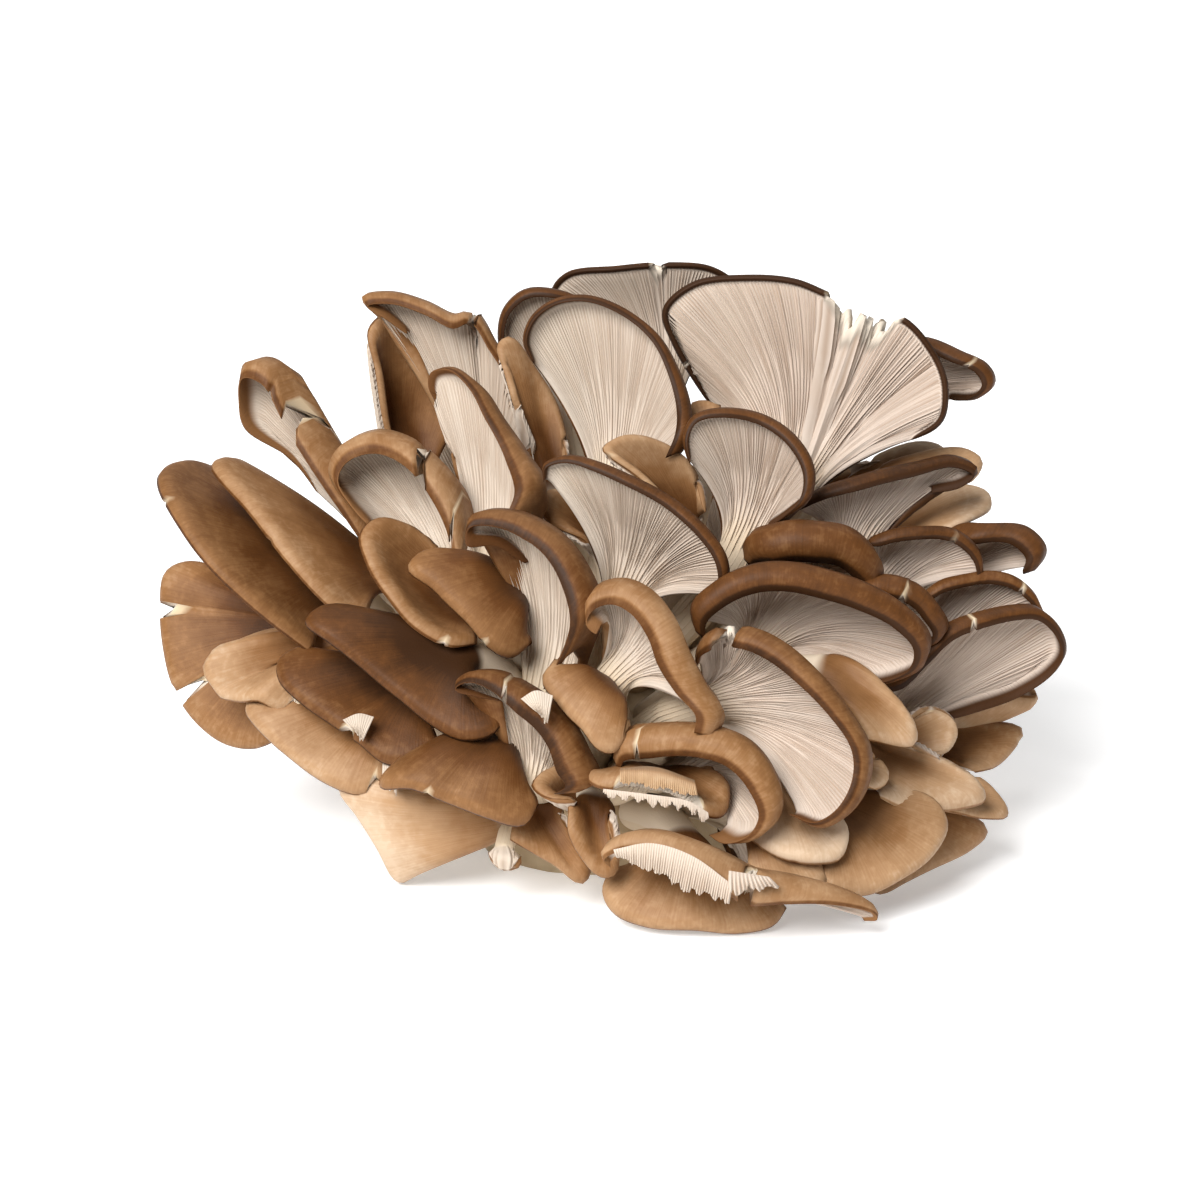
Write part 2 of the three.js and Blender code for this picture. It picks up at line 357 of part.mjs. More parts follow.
// Over the cap, the normals are square to the middle surface itself, as its neighbours show it.
function turnNormals(ribs) {
  const first = STEM_STEPS.length;
  const last = ribs[0].points.length - 1;
  const found = ribs.map((here, c) => {
    const before = ribs[Math.max(0, c - 1)].points;
    const after = ribs[Math.min(ribs.length - 1, c + 1)].points;
    return here.points.slice(first).map((_, k) => {
      const r = first + k;
      const sideways = after[r].clone().sub(before[r]);
      const outward = here.points[Math.min(last, r + 1)].clone();
      outward.sub(here.points[Math.max(first, r - 1)]);
      return sideways.cross(outward).normalize();
    });
  });
  const facing = found.flat().reduce((sum, normal) => sum + normal.dot(ribs[0].skin), 0);
  ribs.forEach((here, c) => {
    for (let r = first; r <= last; r++) {
      const share = NORMAL_TURN_BY_ROW[r - first];
      const square = found[c][r - first].multiplyScalar(Math.sign(facing));
      here.normals[r].lerp(square, share).normalize();
    }
  });
}

// Triangles between two rows of vertices that run the same way over u. Both faces of a thin
// cap are split along the same diagonals, so that they never cross.
function band(rowA, rowB, turned, triangles) {
  let i = 0;
  let j = 0;
  while (i < rowA.length - 1 || j < rowB.length - 1) {
    const nextA = i < rowA.length - 1 ? rowA[i + 1].u : Infinity;
    const nextB = j < rowB.length - 1 ? rowB[j + 1].u : Infinity;
    const corners = [rowA[i].index, rowB[j].index];
    if (nextA <= nextB) {
      i += 1;
      corners.push(rowA[i].index);
    } else {
      j += 1;
      corners.push(rowB[j].index);
    }
    triangles.push(turned ? corners.reverse() : corners);
  }
}

// The columns of a mushroom: two to a gill over the cap, and half as many in a wide one's stem.
function columnsFor(row) {
  const rimLength = new THREE.CatmullRomCurve3(row[3].map(vec), false, 'centripetal').getLength();
  const gills = Math.round(rimLength / GILL_SPACING);
  const held = Math.max(FEWEST_GILLS, Math.min(MOST_GILLS, gills));
  const cap = spread(2 * held);
  return { cap, stem: held > WIDE ? spread(held) : cap };
}

// One closed mushroom. A positive swell makes the larger copy that cuts room in its neighbours.
function mushroomSolid(row, swell = 0) {
  const columns = columnsFor(row);
  const ribs = new Map(columns.cap.map((u) => [u, rib(row, u)]));
  turnNormals([...ribs.values()]);
  const stemRows = STEM_STEPS.length;
  const rowCount = stemRows + CAP_STEPS.length + CURL_STEPS.length;
  const vertices = [];
  const place = (u, point) => {
    vertices.push(point);
    return { u, index: vertices.length - 1 };
  };

  // A point of row r on the skin (facing 1) or on the gills (facing -1).
  const surface = (r, u, facing, relief) => {
    const { points, halves, normals, lip } = ribs.get(u);
    const inCurl = facing < 0 && r > stemRows + 1;
    const whole = Math.min(halves[r] + relief, inCurl ? MOST_IN_CURL * lip : Infinity);
    const half = Math.max(whole, LEAST_THICKNESS / 2) + swell;
    const point = points[r].clone().addScaledVector(normals[r], facing * half);
    if (swell > 0 && r === rowCount - 1) {
      point.add(points[r].clone().sub(points[r - 1]).setLength(2 * swell));
    }
    return place(u, point);
  };

  const skinRows = [];
  const gillRows = [];
  for (let r = 0; r < rowCount; r++) {
    const inner = (r < stemRows ? columns.stem : columns.cap).slice(1, -1);
    const leftEnd = ribs.get(-1).points[r];
    const rightEnd = ribs.get(1).points[r];
    const sideways = rightEnd.clone().sub(leftEnd).normalize();
    const room = swell > 0 ? EDGE_CLEARANCE : 0;
    const left = place(-1, leftEnd.clone().addScaledVector(sideways, -room));
    const right = place(1, rightEnd.clone().addScaledVector(sideways, room));
    const depth = GILL_DEPTH * (RELIEF_BY_ROW[r - stemRows] ?? 0);
    skinRows.push([left, ...inner.map((u) => surface(r, u, 1, 0)), right]);
    const relief = (u, k) => (k % 2 ? 0 : depth * (1 - u * u));
    gillRows.push([left, ...inner.map((u, k) => surface(r, u, -1, relief(u, k))), right]);
  }

  // One closed block between each row and the next, joined, so that a curl never crosses itself.
  const blocks = [];
  const block = (skinA, skinB, gillA, gillB) => {
    const triangles = [];
    band(skinA, skinB, true, triangles);
    band(gillA, gillB, false, triangles);
    band(skinA, gillA, false, triangles);
    band(skinB, gillB, true, triangles);
    band([skinA.at(0), gillA.at(0)], [skinB.at(0), gillB.at(0)], false, triangles);
    band([skinA.at(-1), gillA.at(-1)], [skinB.at(-1), gillB.at(-1)], true, triangles);
    const kept = triangles.filter(([x, y, z]) => x !== y && y !== z && z !== x);
    blocks.push(closedSolid(vertices, kept));
  };
  for (let r = 0; r < rowCount - 1; r++) {
    const rows = [skinRows[r], skinRows[r + 1], gillRows[r], gillRows[r + 1]];
    if (r < stemRows) block(...rows);
    for (let k = 1; r >= stemRows && k < columns.cap.length; k++) {
      block(...rows.map((list) => list.slice(k - 1, k + 1)));
    }
  }
  return wasm.Manifold.union(blocks);
}

function closedSolid(vertices, triangles) {
  const make = (list) => new wasm.Manifold(new wasm.Mesh({
    numProp: 3,
    vertProperties: new Float32Array(vertices.flatMap((v) => [v.x, v.y, v.z])),
    triVerts: new Uint32Array(list.flat()),
  }));
  const solid = make(triangles);
  return solid.volume() > 0 ? solid : make(triangles.map(([a, b, c]) => [a, c, b]));
}

// The butt: a lathe turned to a squat lump, then pushed in and out a little round it.
function buttGeometry(grow) {
  const radius = BUTT_RADIUS + grow;
  const profile = [
    [0, 0], [0.86, 0], [0.97, 0.1], [1, 0.25], [0.96, 0.45], [0.84, 0.66], [0.62, 0.85], [0.3, 0.97], [0, 1],
  ].map(([x, y]) => new THREE.Vector2(x * radius, y * (BUTT_HEIGHT + grow)));
  const geometry = new THREE.LatheGeometry(profile, BUTT_SIDES);
  geometry.rotateX(Math.PI / 2);
  geometry.deleteAttribute('normal');
  geometry.deleteAttribute('uv');
  const merged = mergeVertices(geometry, 0.01);
  const place = merged.getAttribute('position');
  for (let i = 0; i < place.count; i++) {
    const angle = Math.atan2(place.getY(i), place.getX(i));
    const lump = 1 + BUTT_LUMP * (Math.sin(3 * angle + 1) + 0.5 * Math.sin(7 * angle));
    place.setXY(i, place.getX(i) * lump, place.getY(i) * lump * BUTT_DEPTH_SHARE);
  }
  return merged;
}

function solidFromGeometry(geometry) {
  const place = geometry.getAttribute('position');
  const vertices = [];
  for (let i = 0; i < place.count; i++) {
    vertices.push(new THREE.Vector3().fromBufferAttribute(place, i));
  }
  const triangles = [];
  for (let i = 0; i < geometry.index.count; i += 3) {
    const [a, b, c] = [0, 1, 2].map((k) => geometry.index.getX(i + k));
    if (a !== b && b !== c && c !== a) triangles.push([a, b, c]);
  }
  return closedSolid(vertices, triangles);
}

// A solid's mesh, less the edges too short to see: each is closed up to one of its ends.
function geometryFromSolid(solid) {
  const mesh = solid.getMesh();
  const places = [];
  for (let i = 0; i < mesh.numVert; i++) {
    places.push(new THREE.Vector3().fromArray(mesh.vertProperties, i * mesh.numProp));
  }
  let triangles = [];
  for (let i = 0; i < mesh.triVerts.length; i += 3) triangles.push([...mesh.triVerts.slice(i, i + 3)]);
  const shortEdge = () => {
    for (const corners of triangles) {
      for (let k = 0; k < 3; k++) {
        const ends = [corners[k], corners[(k + 1) % 3]];
        if (places[ends[0]].distanceTo(places[ends[1]]) < SHORTEST_EDGE && closes(ends)) return ends;
      }
    }
    return null;
  };
  // An edge may close up only where its ends share no neighbours but those of its two triangles.
  const around = (end) => new Set(triangles.filter((corners) => corners.includes(end)).flat());
  const closes = ([a, b]) => {
    const other = around(b);
    return [...around(a)].filter((vertex) => other.has(vertex)).length === 4;
  };
  for (let ends = shortEdge(); ends; ends = shortEdge()) {
    const [a, b] = ends;
    triangles = triangles
      .filter((corners) => !(corners.includes(a) && corners.includes(b)))
      .map((corners) => corners.map((vertex) => (vertex === b ? a : vertex)));
  }
  const geometry = new THREE.BufferGeometry();
  geometry.setAttribute('position', new THREE.Float32BufferAttribute(places.flatMap((v) => [...v]), 3));
  geometry.setIndex(triangles.flat());
  geometry.computeVertexNormals();

  // Where the surface only just touches itself, both sides draw in from the point of touch.
  const position = geometry.getAttribute('position');
  const normal = geometry.getAttribute('normal');
  const used = [...new Set(triangles.flat())];
  const touching = used.filter((a) => used.some((b) => a !== b && places[a].distanceTo(places[b]) < TOUCH));
  for (const i of touching) {
    const inward = new THREE.Vector3().fromBufferAttribute(normal, i).multiplyScalar(-2 * TOUCH);
    position.setXYZ(i, ...places[i].clone().add(inward));
  }
  return geometry;
}

function largestPiece(solid) {
  const pieces = solid.decompose();
  return pieces.reduce((best, piece) => (piece.volume() > best.volume() ? piece : best));
}

function addMesh(group, name, geometry, finish) {
  const mesh = new THREE.Mesh(geometry, new THREE.MeshStandardMaterial(finish));
  mesh.name = name;
  group.add(mesh);
}

const root = new THREE.Group();
addMesh(root, 'butt', geometryFromSolid(solidFromGeometry(buttGeometry(0))), BUTT_FLESH);

// Everything but the butt stands in the leaning axes.
const cluster = new THREE.Group();
cluster.rotation.x = THREE.MathUtils.degToRad(90 - LEAN_DEGREES);
cluster.position.z = LEAN_CENTRE_HEIGHT;
cluster.updateMatrix();
root.add(cluster);
const buttRoom = buttGeometry(CLEARANCE).applyMatrix4(cluster.matrix.clone().invert());

// The front mushrooms stay whole, and those behind them are cut clear where they would cross.
const reach = (row) => Math.max(...row[3].map((point) => point[2]));
const owners = MUSHROOMS.filter((row) => !row[5].with).sort((a, b) => reach(b) - reach(a));
const rooms = [solidFromGeometry(buttRoom)];
for (const owner of owners) {
  const family = [owner, ...MUSHROOMS.filter((row) => row[5].with === owner[0])];
  let solid = family.map((row) => mushroomSolid(row)).reduce((sum, next) => sum.add(next));
  for (const room of rooms) {
    if (solid.intersect(room).volume() > 0) solid = solid.subtract(room);
  }
  solid = largestPiece(solid);
  addMesh(cluster, owner[0], geometryFromSolid(solid), SKIN);
  rooms.push(solid, ...family.map((row) => mushroomSolid(row, CLEARANCE)));
}

export default root;
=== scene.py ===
# %% [markdown]
# # A cluster of oyster mushrooms
# The real cluster is some seventy mushrooms grown out of one butt. Each stem widens into
# a fan-shaped cap with brown skin outside and thin cream gills inside, and the rim of most
# caps curls over toward the gills. The frame holds the plain solids. This script dresses
# each of them with a finely made mushroom of the same form.

# %% Load the frame
import math

import bpy
import numpy as np
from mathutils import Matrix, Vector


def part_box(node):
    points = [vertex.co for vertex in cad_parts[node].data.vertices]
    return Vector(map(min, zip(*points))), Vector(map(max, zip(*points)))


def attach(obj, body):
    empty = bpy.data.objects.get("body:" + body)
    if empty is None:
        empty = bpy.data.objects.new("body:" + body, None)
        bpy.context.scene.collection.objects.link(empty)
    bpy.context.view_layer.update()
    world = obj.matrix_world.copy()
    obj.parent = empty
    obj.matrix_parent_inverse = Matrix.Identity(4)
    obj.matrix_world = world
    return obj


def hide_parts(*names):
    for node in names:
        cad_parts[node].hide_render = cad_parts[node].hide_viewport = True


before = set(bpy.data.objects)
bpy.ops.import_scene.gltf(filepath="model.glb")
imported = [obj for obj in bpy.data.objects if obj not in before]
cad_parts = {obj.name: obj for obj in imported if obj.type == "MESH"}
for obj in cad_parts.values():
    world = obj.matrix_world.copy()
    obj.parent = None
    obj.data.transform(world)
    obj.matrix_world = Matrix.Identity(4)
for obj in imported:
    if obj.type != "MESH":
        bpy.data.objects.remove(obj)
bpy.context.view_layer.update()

bpy.ops.object.select_all(action="DESELECT")
print("frame nodes:", len(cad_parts))

# %% [markdown]
# Everything on the cluster is laid out in millimetres in axes that lean back: x to the
# right, y up the lean and z out toward the front. One function stands a leaning point up
# in the world, in metres, and all the shapes below go through it.

# %% Leaning axes
LEAN = math.radians(18)
LEAN_CENTRE_HEIGHT = 78
MM = 0.001


def stand_up(points):
    x, y, z = points[..., 0], points[..., 1], points[..., 2]
    back = y * math.sin(LEAN) - z * math.cos(LEAN)
    high = LEAN_CENTRE_HEIGHT + y * math.cos(LEAN) + z * math.sin(LEAN)
    return np.stack([x, back, high], axis=-1) * MM


print("the lean's centre stands at", stand_up(np.zeros(3)).round(3))

# %% [markdown]
# A mushroom needs only a few numbers: which side shows to the front, the neck where the
# stem becomes the cap, the rim as a chain of points from its left end round the tip to its
# right end, and the root in the butt. What else it has is the same for most mushrooms, so
# it is written once here, in millimetres, and a row of the table says only what differs.
# Places along a rim run from -1 at its left end to 1 at its right end.

# %% The usual mushroom
USUAL = {
    "dome": 4,  # how far the cap swells toward its skin
    "roll": [50, 70, 50],  # degrees that the rim curls over, at its left end, tip and right end
    "lip": 4,  # the radius of that curl, one number or three
    "lip_share": 0.2,  # the largest radius, as a share of the way from the neck to the rim
    "thick": 3,  # the cap's flesh
    "stem": 6,  # the stem's radius at the neck
    "foot": 6,  # and at the root
    "pull": 0.4,  # how far the cap keeps the stem's direction before it bends to the rim
    "dip": 3,  # the hollow in a cap whose skin is to the front
    "gills": 0.6,  # how far a gill stands proud
    "tone": 0.5,  # of the skin, from 0, pale tan, to 1, dark grey-brown
    "bites": [],  # torn places in the rim: place, half width, share of the way out that is gone
    "folds": [],  # creases that run out to the rim: place, half width, height
}

print("the usual cap is", USUAL["thick"], "mm thick, on a stem", 2 * USUAL["stem"], "mm wide")

# %% [markdown]
# The mushrooms stand in the table in their bunches, from the top of the cluster down to
# the floor and round to the back. Each is listed one by one, as a grower would point it out.
# `with` names the mushroom whose piece a small neighbour shares, and `spacing` sets gills
# closer than is usual.

# %% The mushrooms
# name, side to the front (1 skin, -1 gills), neck, rim, root, differences
MUSHROOMS = [
    # upper fans, gills to the front
    ["top_back_fan", -1, [20, 62, -42], [[-10, 88, -42], [-15, 99, -36], [-10, 105, -32], [5, 107, -30],
     [20, 108, -30], [35, 107, -32], [44, 101, -36], [46, 92, -42]], [6, -18, -30], {"lip": 2.5,
     "roll": [60, 90, 60], "tone": 1.08, "gills": 0.5, "bites": [[0.13, 0.05, 0.14]]}],
    ["top_left_fan", -1, [-10, 50, -28], [[-28, 72, -26], [-31.5, 84, -24], [-30, 93, -22],
     [-24, 98.5, -20], [-16, 99, -20], [-6, 95.5, -22], [0, 88, -26]], [-6, -20, -26], {"lip": 3,
     "roll": [120, 140, 120], "tone": 0.93, "gills": 0.45}],
    ["top_middle_fan", -1, [4, 28, 0], [[-20, 75, 4], [-22.5, 82, 3], [-20, 89, 2], [-13, 94, 0],
     [-3, 95, 0], [8, 91, 1], [18, 83, 3], [24, 73, 6], [28, 62, 10], [28.5, 54, 14], [26, 47, 14]],
     [-2, -22, -8], {"lip": 4, "roll": [110, 130, 160], "tone": 0.93, "gills": 0.5}],
    ["great_fan", -1, [56, 30, -12], [[36, 62, -18], [24, 82, -16], [21, 92, -14], [30, 100, -12],
     [47, 102, -11], [62, 100.5, -10], [75, 95, -10], [86, 91, -10], [96, 88, -9], [104, 79, -8],
     [108.5, 68, -6], [107, 57, -4], [98, 51, -5]], [14, -24, -18], {"lip": 2.2, "stem": 8,
     "roll": [110, 120, 100], "tone": 1.15, "gills": 0.9, "bites": [[0.26, 0.16, 0.19]],
     "folds": [[0.12, 0.025, -3], [0.17, 0.02, 2.5], [0.25, 0.03, -2.5], [0.33, 0.03, 2],
               [0.62, 0.05, 2], [0.78, 0.05, -2]]}],
    ["far_right_top_fan", -1, [85, 62, -38], [[98, 84, -32], [106, 84, -31], [116, 80, -30],
     [124, 76, -30], [126.5, 71, -30], [122, 67, -32], [112, 67, -36]], [20, -22, -34],
     {"roll": [130, 150, 120], "tone": 0.96}],
    ["under_great_fan", 1, [70, 28, -32], [[86, 42, -28], [95, 49, -27], [103, 51.5, -26],
     [109, 50, -25], [111, 46, -24], [105, 41, -24], [95, 38, -24]], [24, -28, -26], {"lip": 5.6,
     "tone": 0.12, "with": "right_upper_cap"}],
    ["right_upper_fan", -1, [76, 14, -2], [[60, 30, 8], [70, 36, 8], [82, 40, 6], [98, 43.5, 2],
     [110, 45.5, -2], [116, 43, -4], [112, 39.5, -4], [102, 36.5, -4]], [26, -30, -8], {"dome": 2,
     "roll": [120, 150, 150], "lip": 3.5, "tone": 1.06}],
    ["right_upper_small", 1, [90, 36, -24], [[105, 46, -20], [112, 48, -19], [118, 47, -18],
     [121.5, 44, -18], [119, 39, -20], [112, 38, -22]], [28, -28, -28], {"tone": 0.35,
     "with": "right_upper_cap"}],
    ["right_upper_cap", 1, [80, 14, -20], [[92, 29, -20], [104, 36, -20], [116, 37.5, -19],
     [122.5, 35, -18], [123, 31, -14], [117, 27, -10], [109, 23, -8]], [28, -32, -16], {"lip": 3,
     "tone": 0.25}],
    ["right_lip_cap", -1, [60, 5, 12], [[44, 17, 30], [47, 23, 34], [57, 26.5, 38], [69, 26.5, 38],
     [80, 23.5, 36], [87, 17, 32], [88, 10, 28]], [20, -30, 2], {"lip": 6, "roll": [150, 165, 150],
     "tone": 0.86}],
    ["right_middle_fan", -1, [84, 2, 0], [[84, 20, 10], [92, 23, 11], [103, 23.5, 10], [113, 21, 8],
     [118.5, 15, 6], [119, 8, 4]], [30, -34, -6], {"roll": [120, 140, 130], "lip": 3, "tone": 0.96}],
    ["right_lip_far", -1, [105, 8, -16], [[108, 20, -12], [116, 25, -10], [126, 25.5, -8],
     [136, 24, -8], [141, 18, -8], [138, 12, -10]], [34, -34, -18], {"lip": 5, "roll": [150, 165, 165],
     "tone": 0.96}],
    ["right_bud_far", 1, [110, 4, -28], [[118, 14, -22], [124, 14.5, -22], [128.5, 11, -22],
     [126, 7.5, -22]], [36, -34, -24], {"stem": 4, "tone": 0.4, "with": "right_lip_far"}],
    ["middle_fan", -1, [42, 14, 14], [[28, 44, 26], [27, 52, 25], [30, 57.5, 24], [38, 59.5, 24],
     [50, 57.5, 24], [60, 51, 26], [65.5, 42, 28], [65, 34, 29], [60, 29.5, 28], [53, 26, 26]],
     [8, -26, 2], {"lip": 3, "roll": [110, 140, 150], "tone": 0.93, "gills": 0.8}],
    ["middle_bud", 1, [33, 42, 0], [[28, 58, 2], [29, 62.5, 2], [33, 63.5, 2], [38, 61, 1]],
     [10, -18, -10], {"stem": 4, "tone": 0.5, "with": "middle_fan"}],
    ["middle_cap", 1, [26, 20, 8], [[20, 32, 30], [11, 40, 30], [5, 44.5, 29], [2, 47.5, 27],
     [6, 50.5, 24], [14, 50.5, 20], [24, 46, 16], [31, 37, 14], [33, 28, 14]], [6, -24, 0], {"dome": 3,
     "lip": 2.8, "tone": 0.4}],
    ["middle_small_cap", 1, [2, 12, 10], [[-4, 18, 20], [-11, 24, 21], [-16, 29, 21], [-17, 33, 20],
     [-13, 35.5, 18], [-7, 33, 16], [-2.5, 26, 15]], [0, -26, 2], {"stem": 4, "dome": 2, "tone": 0.55,
     "with": "centre_left_fan"}],
    ["centre_fan", -1, [6, -4, 28], [[-15.5, 38, 44], [-15, 42.5, 44], [-9, 44.5, 44], [0, 42.5, 46],
     [10, 38.5, 48], [22, 31.5, 50], [32, 22.5, 52], [38, 13.5, 52], [38.5, 7, 50], [33, 2.5, 46]],
     [2, -34, 8], {"lip": 3, "roll": [110, 130, 130], "tone": 0.93, "gills": 0.8}],
    ["right_long_fan", -1, [44, -16, 30], [[28, -4, 52], [29, 2.5, 54], [37, 9, 56], [48, 12.5, 57],
     [60, 12.5, 57], [72, 9.5, 56], [84, 5, 54], [94, -0.5, 50], [100.5, -8, 46], [99.5, -15, 42],
     [92, -19.5, 40], [81, -21.5, 38], [72, -20.5, 36]], [14, -38, 8], {"lip": 5,
     "roll": [150, 160, 130], "tone": 0.91}],
    ["right_tucked_fan", -1, [80, -10, 20], [[80, 7, 34], [88, 9, 34], [97, 7, 33], [104, 1.5, 31],
     [107.5, -5, 28], [104, -10, 26]], [26, -38, 0], {"roll": [150, 150, 150], "tone": 0.91}],
    ["right_rear_fan", -1, [100, -14, -2], [[101, 3, 8], [108, 7.5, 8], [118, 9, 7], [128, 8, 6],
     [135, 3, 4], [138, -3, 2]], [32, -38, -12], {"roll": [120, 140, 130], "lip": 3, "tone": 0.86}],
    ["right_tongue_fan", -1, [80, -42, 12], [[84, -22.5, 26], [93, -20, 27], [101, -13, 26],
     [108, -7, 24], [116, -4, 22], [127, -2, 18], [135, -2.5, 14], [141, -8, 10], [142.5, -14, 8],
     [138, -20, 6], [128, -26, 6], [116, -30, 8], [106, -33.5, 10]], [28, -46, -4], {"lip": 4,
     "roll": [160, 150, 120], "dome": 2, "tone": 0.96}],
    ["right_thin_cap", -1, [98, -38, -12], [[108, -31, -14], [120, -28.5, -13], [131, -27, -12],
     [137, -29.5, -11], [138.5, -32, -10], [128, -32, -4], [114, -33, -2]], [34, -44, -16],
     {"tone": 0.4, "with": "right_low_tongue"}],
    ["right_low_tongue", 1, [100, -45, -4], [[108, -37, -4], [120, -38.5, -8], [129, -39, -10],
     [134, -40, -10], [131, -45, -6], [124, -50.5, 0], [117, -53, 4]], [34, -50, -10], {"dome": 2,
     "tone": 0.45}],
    ["right_pale_cap", 1, [84, -46, 18], [[94, -38, 22], [102, -33.5, 23], [109, -37, 22],
     [110, -42, 22], [106, -47, 23], [97, -48, 26]], [30, -50, 2], {"dome": 2, "lip": 2.8,
     "roll": [10, 20, 10], "tone": 0.26, "with": "right_low_cap"}],
    ["right_shoulder_cap", 1, [66, -22, 38], [[84, -24, 46], [91, -31, 48], [96.5, -38, 50],
     [96, -42, 52], [89, -42, 54], [81, -41, 56]], [20, -42, 6], {"dome": 4, "tone": 0.33}],
    ["right_shoulder_bud", 1, [70, -48, 44], [[80, -46, 52], [85, -48.5, 52], [87.5, -53, 53],
     [84, -56, 55], [79, -55, 56]], [24, -50, 8], {"stem": 4, "dome": 2, "tone": 0.3,
     "with": "right_shoulder_cap"}],
    ["right_low_cap", 1, [72, -45, 28], [[90, -42, 34], [99, -45, 33], [110, -50, 31], [118, -55.5, 30],
     [119.5, -59, 32], [112, -60.5, 38], [98, -60.5, 46], [86, -57.5, 52]], [24, -52, 4], {"dome": 2,
     "lip": 5.6, "thick": 2.4, "tone": 0.27}],
    ["right_low_rear", 1, [92, -56, 14], [[112, -52, 16], [120, -56, 15], [126, -61, 16],
     [127, -64, 18], [116, -65, 24], [104, -63, 30]], [28, -54, -4], {"dome": 2, "tone": 0.42,
     "with": "right_floor_cap"}],
    ["right_big_cap", 1, [64, -62, 40], [[96, -58, 42], [104, -62, 42], [106.5, -68, 44],
     [102, -76, 50], [93, -82, 56], [82, -86.5, 60], [72, -86.5, 62], [67, -82, 62]], [22, -56, 6],
     {"dome": 6, "tone": 0.4}],
    ["right_floor_cap", 1, [84, -64, 22], [[108, -66, 16], [116, -68, 14], [121, -72, 14],
     [116, -77, 18], [105, -82, 24], [95, -87, 28], [88, -90, 31], [83, -88, 34]], [26, -60, 0],
     {"tone": 0.45}],
    ["front_pale_cap", 1, [52, -56, 50], [[64, -61, 58], [71, -64.5, 60], [74.5, -70, 62],
     [72.5, -76, 65], [64, -77.5, 68], [54, -75.5, 68], [46, -70, 66]], [18, -54, 12], {"dome": 0.8,
     "tone": 0.15}],
    ["front_pale_under", 1, [46, -66, 52], [[60, -76, 60], [66, -79.5, 61], [68.5, -85, 63],
     [60, -86, 66], [50, -84.5, 68], [45, -79, 66]], [16, -60, 12], {"dome": 3, "thick": 2.4,
     "tone": 0.35, "with": "front_pale_cap"}],
    # centre
    ["centre_hook_fan", -1, [4, -24, 50], [[4, -5, 63], [0.5, 2, 63], [3, 6.5, 64], [10, 7.5, 64],
     [18, 4, 67], [24.5, -4, 70], [29, -14, 72], [34, -25, 73], [38.5, -32, 73], [37, -37, 71]],
     [5, -42, 16], {"lip": 6, "roll": [150, 165, 160], "tone": 0.57}],
    ["front_right_fan", -1, [30, -32, 48], [[31, -18, 58], [33, -11, 60], [40, -7, 63], [50, -8.5, 66],
     [58, -13, 68], [67, -21.5, 70], [76, -33, 70], [81.5, -44, 70], [81, -54, 70], [76, -62.5, 70],
     [69, -66, 68], [61, -63, 66]], [8, -46, 14], {"lip": 5, "roll": [150, 160, 120], "tone": 0.76,
     "gills": 0.7, "bites": [[-0.66, 0.07, 0.14]]}],
    ["front_hood_fan", -1, [22, -52, 42], [[5, -42, 66], [8, -37, 70], [20, -35.5, 74], [34, -36.5, 76],
     [45, -41, 77], [53, -49.5, 76], [56.5, -58, 74], [54, -65, 72], [47, -68.5, 70], [41, -66, 66]],
     [6, -52, 14], {"lip": 6, "roll": [130, 140, 110], "tone": 0.62, "lip_share": 0.26}],
    ["centre_dome_cap", 1, [0, -28, 54], [[9, -36, 72], [5, -44, 75], [0, -42, 76], [-5, -34.5, 75],
     [-12, -27, 72], [-16.5, -21.5, 68], [-13, -18, 64]], [-2, -48, 16], {"dome": 8, "tone": 0.5,
     "with": "front_torn_fan"}],
    ["centre_left_fan", -1, [-15, -28, 32], [[-21, 12, 46], [-28, 20, 50], [-36, 23, 53], [-35, 28, 52],
     [-24, 28.5, 52], [-12, 23, 54], [-3, 14, 56], [2, 4, 57], [-0.5, -5, 54], [-6, -11, 50]],
     [-12, -46, 8], {"lip": [4, 8, 11], "roll": [100, 140, 165], "stem": 9, "dome": 2, "tone": 0.8,
     "lip_share": 0.42}],
    # upper left
    ["left_upper_fan", -1, [-31, 8, 18], [[-47, 58, 12], [-50.5, 66, 14], [-49, 71, 15], [-43, 72, 16],
     [-36, 67, 18], [-29, 57, 21], [-22, 48, 24], [-15, 39, 27], [-17, 33, 28], [-25, 28, 29]],
     [-12, -36, 2], {"lip": [3, 7, 12], "roll": [60, 120, 165], "stem": 8, "tone": 0.7, "gills": 0.4,
     "lip_share": 0.42}],
    ["left_upper_cap", 1, [-16, 30, -8], [[-20, 50, -4], [-26, 62, -4], [-29, 73, -6], [-31, 81, -8],
     [-27.5, 83.5, -10], [-21, 76, -12], [-15, 66, -12], [-11.5, 54, -10], [-11, 44, -8]],
     [-8, -30, -10], {"lip": 3, "dome": 3, "thick": 2.4, "tone": 0.48}],
    ["left_top_fan", -1, [-34, 32, -20], [[-60, 86, -20], [-67, 92, -18], [-74, 97, -16],
     [-66, 98, -16], [-55, 95, -16], [-46, 91, -16], [-40, 92, -17], [-34, 83, -17], [-29, 74, -17],
     [-26, 64, -17], [-23, 54, -17]], [-14, -30, -14], {"roll": [140, 150, 100], "lip": [5, 5, 3],
     "tone": 0.6, "gills": 0.4, "lip_share": 0.3, "bites": [[0.12, 0.03, 0.13], [0.66, 0.05, 0.12]]}],
    ["left_top_cap", 1, [-57, 34, -30], [[-66, 48, -24], [-69, 60, -22], [-71.5, 74, -22],
     [-73, 85, -22], [-68.5, 90, -25], [-62, 87, -30], [-55, 78, -34], [-50, 67, -36], [-47, 55, -36]],
     [-22, -32, -22], {"dome": -3, "tone": 0.55}],
    ["left_hood_fan", -1, [-42, 4, 8], [[-70, 26, 12], [-77, 34, 8], [-82, 43, 6], [-79, 50, 6],
     [-70, 54.5, 8], [-60, 53, 12], [-51, 48, 16], [-44, 41, 16], [-42, 32, 16], [-42, 22, 16]],
